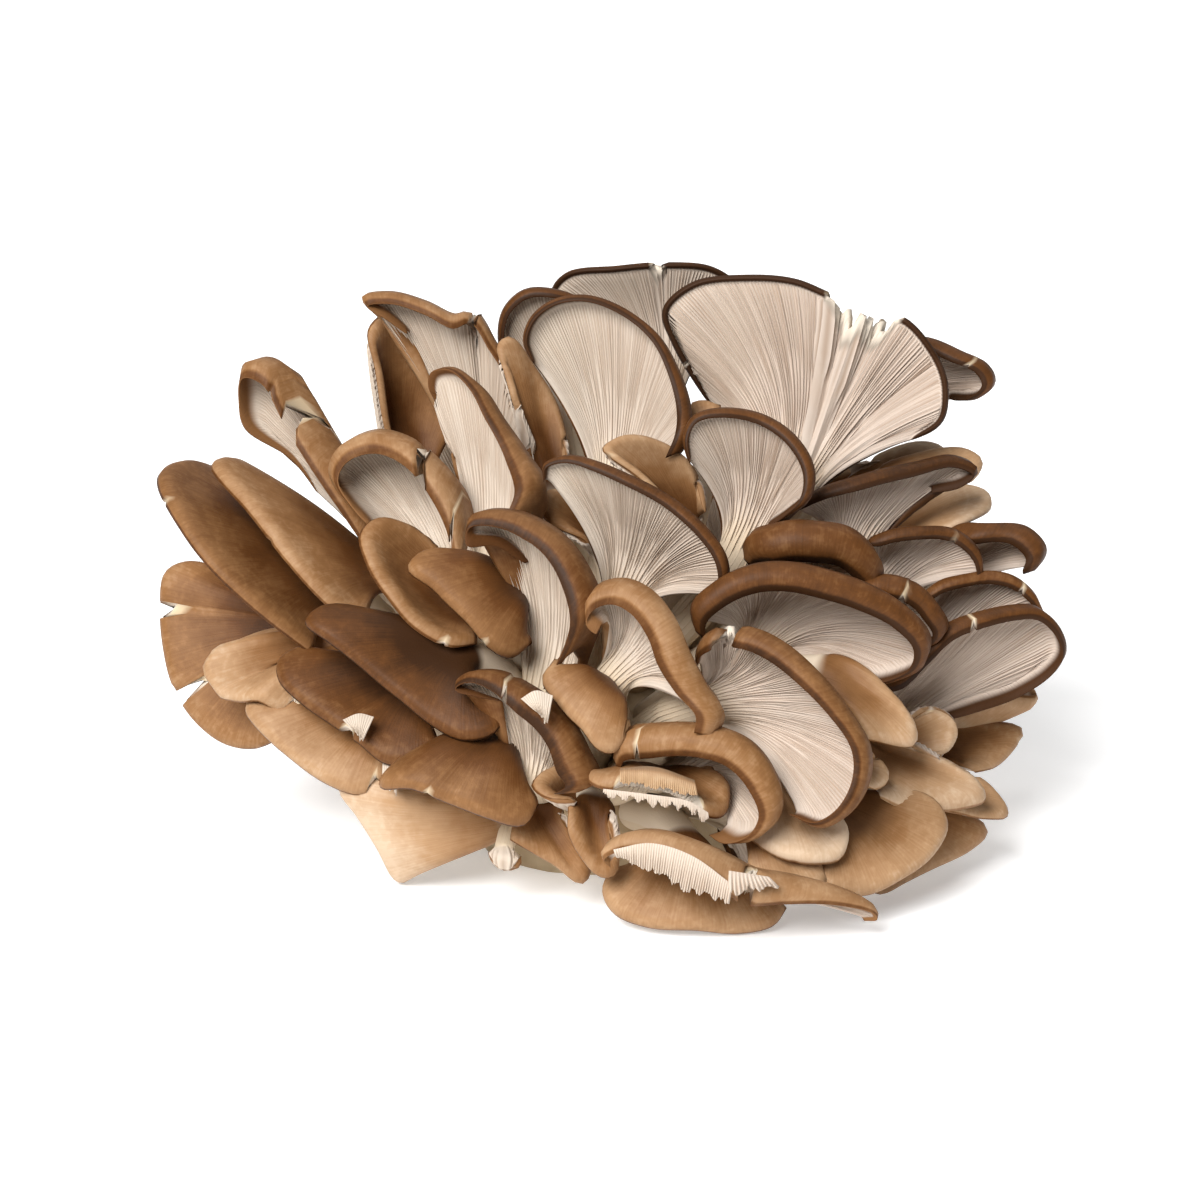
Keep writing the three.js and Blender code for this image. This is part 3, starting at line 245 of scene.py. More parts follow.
     [-20, -40, -4], {"lip": [6, 9, 15], "roll": [120, 155, 178], "stem": 8, "tone": 0.55, "gills": 0.4,
     "lip_share": 0.5, "bites": [[0.25, 0.035, 0.15]]}],
    ["left_torn_fan", -1, [-62, 12, -4], [[-88, 34, -8], [-96, 46, -8], [-108, 58, -8],
     [-108.5, 68, -8], [-106, 77, -6], [-99, 76, -4], [-92, 63, -2], [-84, 50, 2], [-76, 36, 6],
     [-70, 24, 8]], [-22, -36, -8], {"lip": [0.8, 8, 7], "roll": [15, 150, 165], "dome": 2, "tone": 0.6,
     "gills": 0.35, "lip_share": 0.42, "bites": [[0.25, 0.06, 0.22]]}],
    ["left_fold_cap", 1, [-34, 0, 28], [[-38, -13, 44], [-47, -13.5, 47], [-57, -7, 47], [-64, 2, 45],
     [-70, 12, 41], [-72.5, 20, 37], [-68, 25, 33], [-60, 23.5, 29], [-52, 18, 27]], [-16, -44, 4],
     {"dome": -6, "tone": 0.58, "with": "left_hood_fan"}],
    ["left_dome_cap", 1, [-24, -2, 34], [[-20, -11, 50], [-26, -15.5, 54], [-33, -12, 56],
     [-41, -3.5, 56], [-50, 6, 54], [-58, 11.5, 50], [-55, 15, 46], [-46, 15, 42]], [-14, -46, 10],
     {"dome": 8, "tone": 0.66, "with": "left_dark_cap"}],
    ["left_dark_cap", 1, [-38, -18, 36], [[-29, -34, 58], [-33, -39, 60], [-42, -40.5, 60],
     [-52, -35, 58], [-62, -26.5, 56], [-73, -17, 54], [-83, -10.5, 52], [-89.5, -6, 48],
     [-86, -2.5, 44], [-74, -3, 40]], [-18, -50, 8], {"dome": 5, "tone": 0.9, "dip": 5}],
    ["front_torn_fan", -1, [-20, -55, 46], [[-29, -30, 60], [-36, -27, 60], [-41.5, -23.5, 58],
     [-37, -20, 58], [-28, -20, 59], [-17, -25.5, 60], [-8, -33, 62], [-2, -42, 63], [1.5, -50, 63],
     [-2, -53, 62]], [-10, -56, 14], {"lip": [2, 8, 8], "roll": [60, 160, 160], "dome": 2, "thick": 2.4,
     "tone": 0.82, "lip_share": 0.45, "gills": 1.1}],
    ["left_long_cap", 1, [-75, 0, -5], [[-88, -14, 30], [-105, 0, 35], [-125, 20, 30], [-136, 40, 10],
     [-128, 44, -10], [-112, 33, -25], [-98, 18, -30]], [-26, -42, -8], {"dome": 2, "tone": 0.69,
     "dip": 0}],
    ["left_second_cap", 1, [-62, 2, 4], [[-72, -4, 34], [-80, -3, 36], [-95, 14, 34], [-108, 30, 26],
     [-119.5, 43, 14], [-115, 44, 4], [-98, 34, -8], [-84, 26, -12]], [-24, -44, -2], {"dome": 2,
     "tone": 0.53, "dip": 0}],
    ["left_mid_cap", 1, [-50, -26, 24], [[-50, -43, 44], [-58, -48.5, 46], [-66, -48, 46],
     [-74, -42, 44], [-82, -36, 42], [-91, -29.5, 40], [-98, -22, 36], [-98.5, -17, 32],
     [-92, -13, 28]], [-22, -52, 4], {"tone": 0.82, "dip": 5, "bites": [[-0.14, 0.06, 0.1]]}],
    ["left_ruffled_cap", 1, [-74, -16, 10], [[-90, -35, 26], [-95, -33, 27], [-103, -31, 28],
     [-112, -28.5, 26], [-119, -24.5, 22], [-123.5, -20.5, 18], [-119, -16, 14], [-110, -12, 10],
     [-100, -8.5, 8]], [-28, -48, -4], {"tone": 0.36,
     "folds": [[-0.5, 0.12, 3], [-0.1, 0.12, -3], [0.3, 0.12, 3]], "bites": [[-0.82, 0.08, 0.15]]}],
    ["left_low_cap", 1, [-60, -36, 18], [[-66, -52, 34], [-73, -58, 36], [-79, -57, 36], [-90, -50, 34],
     [-101, -42, 30], [-109, -34, 25], [-109, -30, 20]], [-26, -54, -2], {"tone": 0.42,
     "bites": [[-0.8, 0.08, 0.12]]}],
    ["left_split_fan", 1, [-86, -12, -6], [[-100, -42, 4], [-110, -45.5, 2], [-120, -43.5, 0],
     [-129, -36, -2], [-135, -26, -4], [-138, -14, -6], [-139, -2, -8], [-137.5, 9, -10],
     [-130, 12, -12], [-118, 7, -14]], [-30, -46, -14], {"tone": 0.6,
     "bites": [[-0.2, 0.04, 0.3], [0.35, 0.03, 0.2]]}],
    ["front_left_cap", 1, [-28, -44, 40], [[-19, -61, 60], [-23, -66.5, 63], [-34, -63, 66],
     [-46, -57.5, 66], [-57, -54, 64], [-67, -54, 58], [-63, -49.5, 52], [-54, -44, 46]],
     [-16, -56, 10], {"dome": 7, "tone": 0.66}],
    ["left_floor_cap", 1, [-30, -66, 30], [[-62, -88, 20], [-65, -86, 22], [-70, -76, 28],
     [-76, -66, 30], [-81, -58, 30], [-76, -50, 24]], [-20, -60, 4], {"stem": 7, "tone": 0.14}],
    ["front_small_cap", 1, [-20, -60, 36], [[-12, -66, 48], [-7, -75, 50], [-3, -82, 50],
     [-5, -85.5, 50], [-14, -79, 52], [-22, -74.5, 52], [-27, -72, 50]], [-12, -60, 12], {"dome": 4,
     "tone": 0.54, "with": "left_floor_cap"}],
    ["front_torn_bud", 1, [-8, -60, 46], [[-7, -60, 64], [-14, -58.5, 64], [-18.5, -55, 62],
     [-16, -51.5, 58], [-9, -50.5, 54], [-3, -53, 54]], [-10, -58, 12], {"stem": 4, "dome": 2,
     "tone": 0.5, "with": "front_drooping_cap"}],
    ["front_broken_cap", 1, [12, -54, 46], [[33, -49, 58], [38.5, -54.5, 64], [38, -61, 68],
     [33, -62, 72], [24, -56.5, 75], [10, -53.5, 76], [0, -52.5, 74], [-4, -51, 68]], [4, -58, 16],
     {"dome": 5, "tone": 0.55, "thick": 4, "spacing": 0.7, "bites": [[0.2, 0.45, 0.12]]}],
    ["front_drooping_cap", 1, [-2, -60, 52], [[3, -66, 62], [5.5, -76, 64], [4.5, -82, 64],
     [1, -83, 64], [-5, -77, 65], [-8.5, -69, 65], [-9, -62, 62]], [-6, -62, 14], {"stem": 5, "dome": 2,
     "tone": 0.55}],
    ["front_floor_cap", 1, [24, -72, 40], [[56, -92, 56], [52, -97, 60], [42, -99, 62], [28, -98.5, 64],
     [14, -97.5, 62], [5, -94, 58], [1, -88, 54], [3, -82, 50]], [8, -64, 12], {"dome": 5,
     "tone": 0.45}],
    ["front_split_fan", -1, [40, -86, 54], [[4, -74.5, 70], [2, -71.5, 72], [8, -67.5, 74],
     [18, -67, 76], [28, -70.5, 78], [38, -76, 78], [47, -80.5, 77], [60, -83, 74], [72, -86, 70],
     [82, -92, 66], [83, -95, 64], [79, -96, 63]], [14, -64, 10], {"lip": [3, 5, 2.5],
     "roll": [120, 150, 60], "tone": 0.5, "gills": 1.2, "lip_share": 0.3,
     "bites": [[0.06, 0.06, 0.16]]}],
    # behind, skin to the back
    ["back_low_middle", -1, [0, -42, -46], [[-16, -30, -60], [-28, -14, -74], [-26, -2, -84],
     [-10, 4, -88], [8, 4, -88], [24, -3, -84], [27, -15, -74], [16, -30, -60]], [0, -46, -16],
     {"stem": 8}],
    ["back_low_left", -1, [-24, -44, -38], [[-42, -38, -46], [-62, -32, -54], [-76, -16, -64],
     [-74, 0, -72], [-58, 8, -78], [-42, 2, -80], [-34, -12, -70], [-30, -28, -56]], [-12, -48, -14],
     {"stem": 8, "roll": [20, 28, 20], "lip": 5.6, "dome": 2, "thick": 2.4}],
    ["back_low_right", -1, [26, -44, -40], [[28, -26, -60], [34, -10, -72], [44, 4, -80], [60, 10, -80],
     [76, 2, -74], [78, -14, -66], [64, -30, -60], [44, -38, -50]], [12, -48, -14], {"stem": 8,
     "roll": [2, 3, 2], "lip": 7.8, "dome": 3, "thick": 1.9}],
    ["back_middle_left", -1, [-26, 0, -50], [[-42, 14, -58], [-54, 30, -64], [-56, 46, -64],
     [-44, 58, -62], [-28, 58, -62], [-16, 46, -64], [-14, 28, -62], [-16, 12, -56]], [-8, -34, -24],
     {}],
    ["back_middle", -1, [6, 0, -56], [[-6, 14, -66], [-12, 30, -74], [-6, 44, -76], [8, 50, -76],
     [22, 46, -76], [30, 34, -74], [28, 18, -66], [20, 8, -60]], [2, -34, -24], {}],
    ["back_middle_right", -1, [38, 0, -54], [[34, 14, -62], [36, 32, -70], [48, 46, -72], [66, 50, -68],
     [78, 42, -64], [78, 26, -60], [66, 14, -56], [52, 6, -54]], [14, -34, -24], {"dome": 2}],
    ["back_far_left", -1, [-52, -30, -34], [[-74, -28, -38], [-94, -20, -42], [-104, -4, -46],
     [-98, 10, -50], [-82, 12, -56], [-66, 2, -54], [-58, -12, -44]], [-24, -44, -16], {"dome": 2}],
    ["back_far_right", -1, [62, -34, -40], [[66, -16, -52], [78, -2, -60], [94, 2, -60], [106, -6, -54],
     [109, -20, -48], [98, -32, -44], [80, -38, -42]], [26, -46, -18], {}],
    ["front_stub", 1, [-29, -75, 40], [[-34, -77, 40], [-32, -80, 40], [-29, -82, 40], [-25, -81, 40],
     [-24, -78, 40]], [-22, -66, 16], {"stem": 3, "foot": 4, "dome": 1, "lip": 1,
     "with": "left_floor_cap"}],
    # inside, hardly seen
    # its darkest tone is partly painted shade, standing in for the dark hollow it fills between the front
    # caps
    ["front_inner_bud", 1, [40, -66, 26], [[40, -76, 34], [44, -84, 36], [50, -87, 36], [56, -84, 34],
     [58, -76, 32], [52, -70, 30]], [16, -60, 2], {"stem": 6, "dome": 3, "tone": 1.0,
     "with": "front_pale_cap"}],
]
print("mushrooms:", len(MUSHROOMS), "in", sum("with" not in row[5] for row in MUSHROOMS), "bunches")

# %% [markdown]
# Three small helpers serve all the forms. One makes arrows one unit long, one eases a step
# from 0 to 1, and one spreads three values along a rim. From here on, `u` is the place
# along a rim, from -1 to 1.

# %% Small helpers
TINY = 1e-9
MIDDLE_HOLDS = 1.5  # above 1, a rim keeps its middle value over more of its length


def unit(vectors):
    return vectors / np.maximum(np.linalg.norm(vectors, axis=-1, keepdims=True), TINY)


def smooth(x):
    x = np.clip(x, 0, 1)
    return x * x * (3 - 2 * x)


def across(values, u):
    end = np.where(u < 0, values[0], values[2])
    return values[1] + (end - values[1]) * np.abs(u) ** MIDDLE_HOLDS


print("the usual roll, in degrees:", across(USUAL["roll"], np.linspace(-1, 1, 5)).round(1))

# %% [markdown]
# The rim of a cap is one smooth line. A centripetal Catmull-Rom curve passes through all
# its points without loops, and is measured so that it can be walked at an even pace.

# %% The line of a rim
CURVE_STEPS = 30


def catmull_rom(points):
    padded = np.vstack([2 * points[0] - points[1], points, 2 * points[-1] - points[-2]])
    line = []
    for a, b, c, d in zip(padded, padded[1:], padded[2:], padded[3:]):
        t0 = 0
        t1 = t0 + np.linalg.norm(b - a) ** 0.5
        t2 = t1 + np.linalg.norm(c - b) ** 0.5
        t3 = t2 + np.linalg.norm(d - c) ** 0.5
        t = np.linspace(t1, t2, CURVE_STEPS, endpoint=False)[:, None]
        ab = (t1 - t) / (t1 - t0) * a + (t - t0) / (t1 - t0) * b
        bc = (t2 - t) / (t2 - t1) * b + (t - t1) / (t2 - t1) * c
        cd = (t3 - t) / (t3 - t2) * c + (t - t2) / (t3 - t2) * d
        abc = (t2 - t) / (t2 - t0) * ab + (t - t0) / (t2 - t0) * bc
        bcd = (t3 - t) / (t3 - t1) * bc + (t - t1) / (t3 - t1) * cd
        line.append((t2 - t) / (t2 - t1) * abc + (t - t1) / (t2 - t1) * bcd)
    line = np.vstack(line + [points[-1:]])
    steps = np.linalg.norm(np.diff(line, axis=0), axis=1)
    return line, np.concatenate([[0], np.cumsum(steps)])


def walk(points, u):
    line, distance = catmull_rom(points)
    where = (u + 1) / 2 * distance[-1]
    return np.stack([np.interp(where, distance, line[:, k]) for k in range(3)], axis=-1)


def line_length(points):
    return catmull_rom(np.array(points, float))[1][-1]


print("the first rim is", round(line_length(MUSHROOMS[0][3])), "mm long")

# %% [markdown]
# Each mushroom has its own directions: the side its skin faces, forward out of the neck,
# the stem's back, and sideways across it. The skin's side comes from the rim itself, as
# the sum of the small triangles between the neck and the rim.

# %% Directions of a mushroom
TIP_PULL = 1.2  # how much the way to the tip counts in what is forward, the stem counting 1


def read_row(row):
    neck, rim, root = (np.array(part, float) for part in row[2:5])
    return {**USUAL, **row[5]}, row[1], neck, rim, root


def directions(side, neck, rim, root):
    seen = -unit(np.cross(rim[:-1] - neck, rim[1:] - neck).sum(axis=0))
    skin = seen * side
    to_tip = unit(rim.mean(axis=0) - neck)
    to_tip = unit(to_tip - skin * (skin @ to_tip))
    forward = unit(unit(neck - root) + TIP_PULL * to_tip)
    back = unit(skin - forward * (skin @ forward))
    return skin, forward, back, np.cross(forward, back) * side


facing = directions(*read_row(MUSHROOMS[0])[1:])[0]
print("the skin of", MUSHROOMS[0][0], "faces", facing.round(2))

# %% [markdown]
# The flesh is modelled as a middle surface with a thickness, in columns that run from the
# root up the stem, over the cap and round the curled rim. Each cap could be sculpted by
# hand, but a formula grows seventy different ones from one table. In the stem the columns
# follow one cubic curve, which leaves the butt toward the neck and arrives in the cap's
# direction.

# %% The stem
STEM_ROWS = 4
STEM_HANDLE = 0.35  # of the stem's length, along which its curve keeps the direction of an end


def stem_part(own, neck, root, axes, side, u):
    _, forward, back, _ = axes
    length = np.linalg.norm(neck - root)
    first = root + unit(neck - root) * STEM_HANDLE * length
    second = neck - forward * STEM_HANDLE * length
    points, normals, halves = [], [], []
    for step in np.arange(STEM_ROWS) / STEM_ROWS:
        rest = 1 - step
        centre = (
            rest**3 * root + 3 * step * rest**2 * first
            + 3 * step**2 * rest * second + step**3 * neck
        )
        along = unit(
            rest**2 * (first - root) + 2 * step * rest * (second - first)
            + step**2 * (neck - second)
        )
        normal = unit(back - along * (along @ back))
        radius = own["foot"] * rest + own["stem"] * step
        beside = np.cross(along, normal) * side
        points.append(centre + np.outer(np.sin(u * math.pi / 2) * radius, beside))
        normals.append(np.tile(normal, (len(u), 1)))
        halves.append(radius * np.cos(u * math.pi / 2))
    return points, normals, halves


print("rows in a stem:", STEM_ROWS)

# %% [markdown]
# Grown things are never even. Slow waves pass over every cap, a cap whose skin is to the
# front dips in the middle, and a fold is a crease that runs out to the rim. All of them
# rise from nothing at the neck.

# %% Waves, dips and folds
WAVES = [(2, 1.0), (5, 0.6), (11, 0.25)]  # radians from the middle of a rim to its end, height
WAVE_HEIGHT = 0.8
WAVE_DRIFT = 2  # radians that a wave moves sideways on its way out
ANY_PHASE = 6.28
DIP_WIDTH = 0.55
DIP_OUTWARD = 1.1  # above 1, the dip is deepest past the middle of the way out
FOLD_RISE = 0.7  # of the way out, where a fold has its full height


def surface_waves(own, side, random, u, share):
    wave = np.zeros_like(share)
    for turns, height in WAVES:
        phase, drift = random.uniform(0, ANY_PHASE, 2)
        wave += height * np.sin(turns * u + phase + WAVE_DRIFT * share + drift)
    wave *= WAVE_HEIGHT * smooth(share)
    if side > 0:
        bowl = np.exp(-((u / DIP_WIDTH) ** 2))
        wave -= own["dip"] * bowl * np.sin(math.pi * share**DIP_OUTWARD) ** 2
    for place, width, height in own["folds"]:
        wave += height * np.exp(-(((u - place) / width) ** 2)) * smooth(share / FOLD_RISE)
    return wave


print("mushrooms with folds:", sum("folds" in row[5] for row in MUSHROOMS))

# %% [markdown]
# Over the cap a column is a quadratic curve, swollen by the dome. At the rim it goes on as
# an arc, so a rim can droop, curl over or roll right in on itself. `reach` is the share of
# each column that is left where the rim is torn.

# %% Cap and curl
CAP_ROWS = 15
CURL_ROWS = 6
CAP_SHARE = 0.84  # of a column above the neck, the rest is the curl
DOME_OUTWARD = 1.2  # above 1, the dome is highest past the middle of the way out
DOME_ENDS = 4  # the higher this power, the nearer to a cap's two sides the dome stays high
NEAR_RIM = 0.97  # of the way over the cap, from where the curl takes its direction


def cap_part(own, side, neck, rim, axes, random, u, reach):
    skin, forward, _, sideways = axes
    start = neck + np.outer(np.sin(u * math.pi / 2) * own["stem"], sideways)
    tip = walk(rim, u)
    curl = np.radians(across(own["roll"], u))
    outward = unit(tip - start)
    largest = own["lip_share"] * np.linalg.norm(tip - start, axis=1)
    lip = np.minimum(across(np.broadcast_to(own["lip"], 3), u), largest)
    end = tip - outward * (lip * np.sin(np.minimum(curl, math.pi / 2)))[:, None]
    bend = start + forward * (own["pull"] * np.linalg.norm(end - start, axis=1))[:, None]

    def cap(t):
        t = t[..., None]
        flat = (1 - t) ** 2 * start + 2 * t * (1 - t) * bend + t * t * end
        swell = own["dome"] * np.sin(math.pi * np.clip(t, 0, 1) ** DOME_OUTWARD)
        return flat + skin * (swell * (1 - u[:, None] ** DOME_ENDS))

    share = np.linspace(0, 1, CAP_ROWS + CURL_ROWS)[:, None] * reach
    over_cap = np.minimum(share / CAP_SHARE, 1)
    angle = curl * np.clip((share - CAP_SHARE) / (1 - CAP_SHARE), 0, 1)
    last = cap(np.ones((1, len(u))))
    onward = unit(last - cap(np.full((1, len(u)), NEAR_RIM)))
    up = unit(skin - onward * (onward @ skin)[..., None])
    sheet = cap(over_cap) + lip[:, None] * (
        onward * np.sin(angle)[..., None] - up * (1 - np.cos(angle))[..., None]
    )
    sheet += skin * surface_waves(own, side, random, u, share)[..., None]
    return sheet, share, over_cap


print("rows from the neck to the rim:", CAP_ROWS + CURL_ROWS)

# %% [markdown]
# The flesh is as thick as the round stem at first and opens out to a thin sheet, which
# thins again in the curl. A whole rim ends almost sharp, and a torn one stays thick. The
# thickness turns from the stem's back to the slope of the cap on the way.

# %% The middle surface and its thickness
NECK_FULLNESS = 0.8  # of the stem's radius, the half thickness where the cap begins
OPENS_OVER = 0.5  # of the cap, in which it becomes a sheet
TURNS_OVER = 0.3  # of the cap, in which the thickness turns to the slope
SIDES_THIN = 12  # the higher this power, the nearer to a cap's two sides it stays thick
CURL_THINNING = 0.5
WHOLE_REACH = 0.97  # a column that reaches less far is torn
TORN_EDGE = 0.85  # what is left of the thickness at a torn edge
WHOLE_EDGE = 0.3  # and at a whole one


def middle_surface(row, random, u, reach):
    own, side, neck, rim, root = read_row(row)
    axes = directions(side, neck, rim, root)
    skin, _, back, _ = axes
    points, normals, halves = stem_part(own, neck, root, axes, side, u)
    sheet, share, over_cap = cap_part(own, side, neck, rim, axes, random, u, reach)

    slope = np.cross(np.gradient(sheet, axis=1), np.gradient(sheet, axis=0))
    slope = unit(slope * np.sign((slope @ skin).sum()))
    away = smooth(over_cap / TURNS_OVER)[..., None]
    normal = unit(back * (1 - away) + slope * away)
    open_out = smooth(over_cap / OPENS_OVER)
    ends = np.sqrt(np.clip(1 - u**SIDES_THIN, 0, 1))
    thin = 1 - CURL_THINNING * smooth((share - CAP_SHARE) / (1 - CAP_SHARE))
    thin[-1] *= np.where(reach < WHOLE_REACH, TORN_EDGE, WHOLE_EDGE)
    half = own["stem"] * NECK_FULLNESS * np.cos(u * math.pi / 2) * (1 - open_out)
    half = half + own["thick"] / 2 * ends * thin * open_out
    return (
        np.concatenate([points, sheet]), np.concatenate([normals, normal]),
        np.concatenate([halves, half]), share,
    )


print("rows from the root to the rim:", STEM_ROWS + CAP_ROWS + CURL_ROWS)

# %% [markdown]
# Gills are thin blades about a millimetre apart. Only one in eight reaches the stem, and
# shorter ones start between them further out, so they stay evenly close toward the rim.
# Every second column of the inner sheet is the edge of a gill and stands proud of the
# column beside it. A bump in the material could draw them too, but it casts no shadow and
# leaves a torn edge smooth. On caps that hide their gills they are set wider.

# %% Gills by formula
GILL_SPACING = 1.1
HIDDEN_GILL_SPACING = 1.9
GILL_SWAY = 0.16  # how far a gill's edge wanders, as a share of the space beside it
GILL_STARTS = [0.0, 0.52, 0.3, 0.5, 0.12, 0.54, 0.32, 0.48]  # of the way from neck to rim
GILL_START_DRIFT = 0.06
GILL_HEIGHTS = (0.6, 1.25)  # the lowest and the highest, beside the usual one
GILL_RAMP = 0.1  # of the way out, in which a gill rises and again sinks


def gill_relief(random, columns, share):
    count = (columns - 1) // 2
    turn = np.arange(count) % len(GILL_STARTS)
    starts = np.array(GILL_STARTS)[turn] + random.uniform(-GILL_START_DRIFT, GILL_START_DRIFT, count)
    heights = random.uniform(*GILL_HEIGHTS, count)
    proud = smooth((share[:, 1::2] - starts) / GILL_RAMP) * heights
    proud *= 1 - smooth((share[:, 1::2] - CAP_SHARE) / GILL_RAMP)
    relief = np.zeros((STEM_ROWS + len(share), columns))
    relief[STEM_ROWS:, 1::2] = proud
    fade = np.linspace(0, 1, STEM_ROWS, endpoint=False)[:, None] ** 2
    relief[:STEM_ROWS, 1::2] = fade * ((turn == 0) * heights)
    return relief


print("one gill in", len(GILL_STARTS), "reaches the stem")

# %% [markdown]
# Rims are rarely whole. A bite is a wide torn place with a ragged edge, and a crack is a
# narrow split that runs in from the rim. A boolean could cut them out, but it leaves long
# thin faces. Here both shorten the columns where they are, which keeps the mesh even.

# %% Bites and cracks
BITE_SIDES = 0.25  # of a bite's half width, in which it reaches its full depth
RAGGED_WAVES = 0.15  # of a bite's depth
RAGGED_TEETH = 0.12
RAGGED_TURNS = (23, 61)  # radians to either end of the rim, of a slow wave and the fast one in it
RAGGED_BEND = 3  # radians that the fast wave bends the slow one
MOST_CRACKS = 1
CRACKED_PART = 0.85  # of a rim, the ends stay whole
CRACK_HALF_WIDTH = (0.6, 0.8)  # in millimetres, the least and the most
CRACK_DEPTH = (0.03, 0.07)  # of the way from the neck to the rim


def column_reach(own, random, u, rim_length):
    reach = np.ones_like(u)
    for place, width, depth in own["bites"]:
        inside = smooth((width - np.abs(u - place)) / (BITE_SIDES * width))
        bent = RAGGED_TURNS[0] * u + RAGGED_BEND * np.sin(RAGGED_TURNS[1] * u)
        waves = RAGGED_WAVES * np.sin(bent)
        reach -= depth * inside * (1 + waves + random.uniform(-RAGGED_TEETH, RAGGED_TEETH, len(u)))
    for place in random.uniform(-CRACKED_PART, CRACKED_PART, random.integers(0, MOST_CRACKS + 1)):
        half_width = random.uniform(*CRACK_HALF_WIDTH) / rim_length * 2
        depth = random.uniform(*CRACK_DEPTH)
        reach -= depth * np.clip(1 - np.abs(u - place) / half_width, 0, 1)
    return reach


print("rims with bites:", sum("bites" in row[5] for row in MUSHROOMS))

# %% [markdown]
# Each sheet starts as a grid primitive with as many squares as it needs, and its points
# are then moved onto the surface. It could be built point by point, but a primitive
# brings its faces and its UV map with it. That map becomes one in millimetres: across the
# cap along the rim, and out from the neck. The materials read it, so their streaks run
# out from the neck and close up toward it, as they grow on the real cap. What else a
# material needs to know, such as where the flesh is torn, is kept as attributes.

# %% Grid to sheet
def make_sheet(name, places, layers, material):
    rows, columns = places.shape[:2]
    bpy.ops.mesh.primitive_grid_add(x_subdivisions=columns - 1, y_subdivisions=rows - 1, size=1)
    sheet = bpy.context.object
    sheet.name = name
    mesh = sheet.data
    flat = np.empty(len(mesh.vertices) * 3)
    mesh.vertices.foreach_get("co", flat)
    grid = flat.reshape(-1, 3)
    column = np.rint((grid[:, 0] + 0.5) * (columns - 1)).astype(int)
    row = np.rint((grid[:, 1] + 0.5) * (rows - 1)).astype(int)
    mesh.vertices.foreach_set("co", stand_up(places[row, column]).ravel())
    for title, values in layers.items():
        layer = mesh.attributes.new(title, "FLOAT", "POINT")
        layer.data.foreach_set("value", values[row, column].astype(np.float32))
    corner = np.empty(len(mesh.loops), dtype=int)
    mesh.loops.foreach_get("vertex_index", corner)
    over, out = layers["across_mm"][row, column], layers["out_mm"][row, column]
    uv = np.stack([over[corner], out[corner]], axis=-1)
    mesh.uv_layers[0].data.foreach_set("uv", uv.ravel())
    mesh.materials.append(material)
    return sheet, column


print("the first neck stands at", stand_up(np.array(MUSHROOMS[0][2], float)).round(4), "m")

# %% [markdown]
# A mushroom's two sheets are joined and sewn up. Solidify could give one sheet a wall,
# but then the skin would repeat every gill. Bridge Edge Loops closes the strip round the
# rim and the small cut at the root, and merging by distance closes both sides, where the
# sheets already share their points. The ridge of every gill is marked sharp, so it stays
# crisp from end to end while the rest of the surface shades smoothly.

# %% Sewing the sheets together
MERGE_MM = 0.01
SAME_ROW = 1e-5


def choose(objects):
    bpy.ops.object.select_all(action="DESELECT")
    for chosen in objects:
        chosen.select_set(True)
    bpy.context.view_layer.objects.active = objects[0]


def bridge_where(mesh, value):
    along = np.empty(len(mesh.vertices))
    mesh.attributes["along"].data.foreach_get("value", along)
    chosen = np.isclose(along, value, atol=SAME_ROW)
    ends = np.empty(len(mesh.edges) * 2, dtype=int)
    mesh.edges.foreach_get("vertices", ends)
    mesh.vertices.foreach_set("select", chosen)
    mesh.edges.foreach_set("select", chosen[ends.reshape(-1, 2)].all(axis=1))
    mesh.polygons.foreach_set("select", np.zeros(len(mesh.polygons), dtype=bool))
    bpy.ops.object.mode_set(mode="EDIT")
    bpy.ops.mesh.bridge_edge_loops()
    bpy.ops.object.mode_set(mode="OBJECT")


def sharpen_ridges(sheet, column):
    mesh = sheet.data
    ends = np.empty(len(mesh.edges) * 2, dtype=int)
    mesh.edges.foreach_get("vertices", ends)
    pair = column[ends.reshape(-1, 2)]
    ridge = (pair[:, 0] == pair[:, 1]) & (pair[:, 0] % 2 == 1)
    sharp = mesh.attributes.new("sharp_edge", "BOOLEAN", "EDGE")
    sharp.data.foreach_set("value", ridge)


def sew(gill_sheet, skin_sheet):
    choose([gill_sheet, skin_sheet])
    bpy.ops.object.join()
    bpy.context.tool_settings.mesh_select_mode = (False, True, False)
    bridge_where(gill_sheet.data, 1)
    bridge_where(gill_sheet.data, -1)
    bpy.ops.object.mode_set(mode="EDIT")
    bpy.ops.mesh.select_all(action="SELECT")
    bpy.ops.mesh.remove_doubles(threshold=MERGE_MM * MM)
    bpy.ops.mesh.normals_make_consistent(inside=False)
    bpy.ops.object.mode_set(mode="OBJECT")
    bpy.ops.object.shade_smooth(keep_sharp_edges=True)
    return gill_sheet


print("points closer than", MERGE_MM, "mm are sewn into one")

# %% [markdown]
# A material is a small network of nodes. One function adds any node: its kind, its
# settings, and its inputs, where an input is a plain value or another node's output.
# Colours are written as they look on a screen and turned to the linear values that light
# is worked out in, and a ramp turns a number into a colour between its stops. All the
# cluster's flesh ends in the same way: a fine relief and one shader.

# %% Colours and nodes
MUSHROOM_IOR = 1.38


def linear(hex_colour):
    parts = [int(hex_colour[k : k + 2], 16) / 255 for k in (1, 3, 5)]
    return [p / 12.92 if p <= 0.04045 else ((p + 0.055) / 1.055) ** 2.4 for p in parts] + [1]


def add_node(tree, kind, settings, inputs, output=0):
    made = tree.nodes.new("ShaderNode" + kind)
    for name, value in settings.items():
        setattr(made, name, value)
    for name, value in inputs.items():
        if isinstance(value, bpy.types.NodeSocket):
            tree.links.new(value, made.inputs[name])
        else:
            made.inputs[name].default_value = value
    return made.outputs[output]


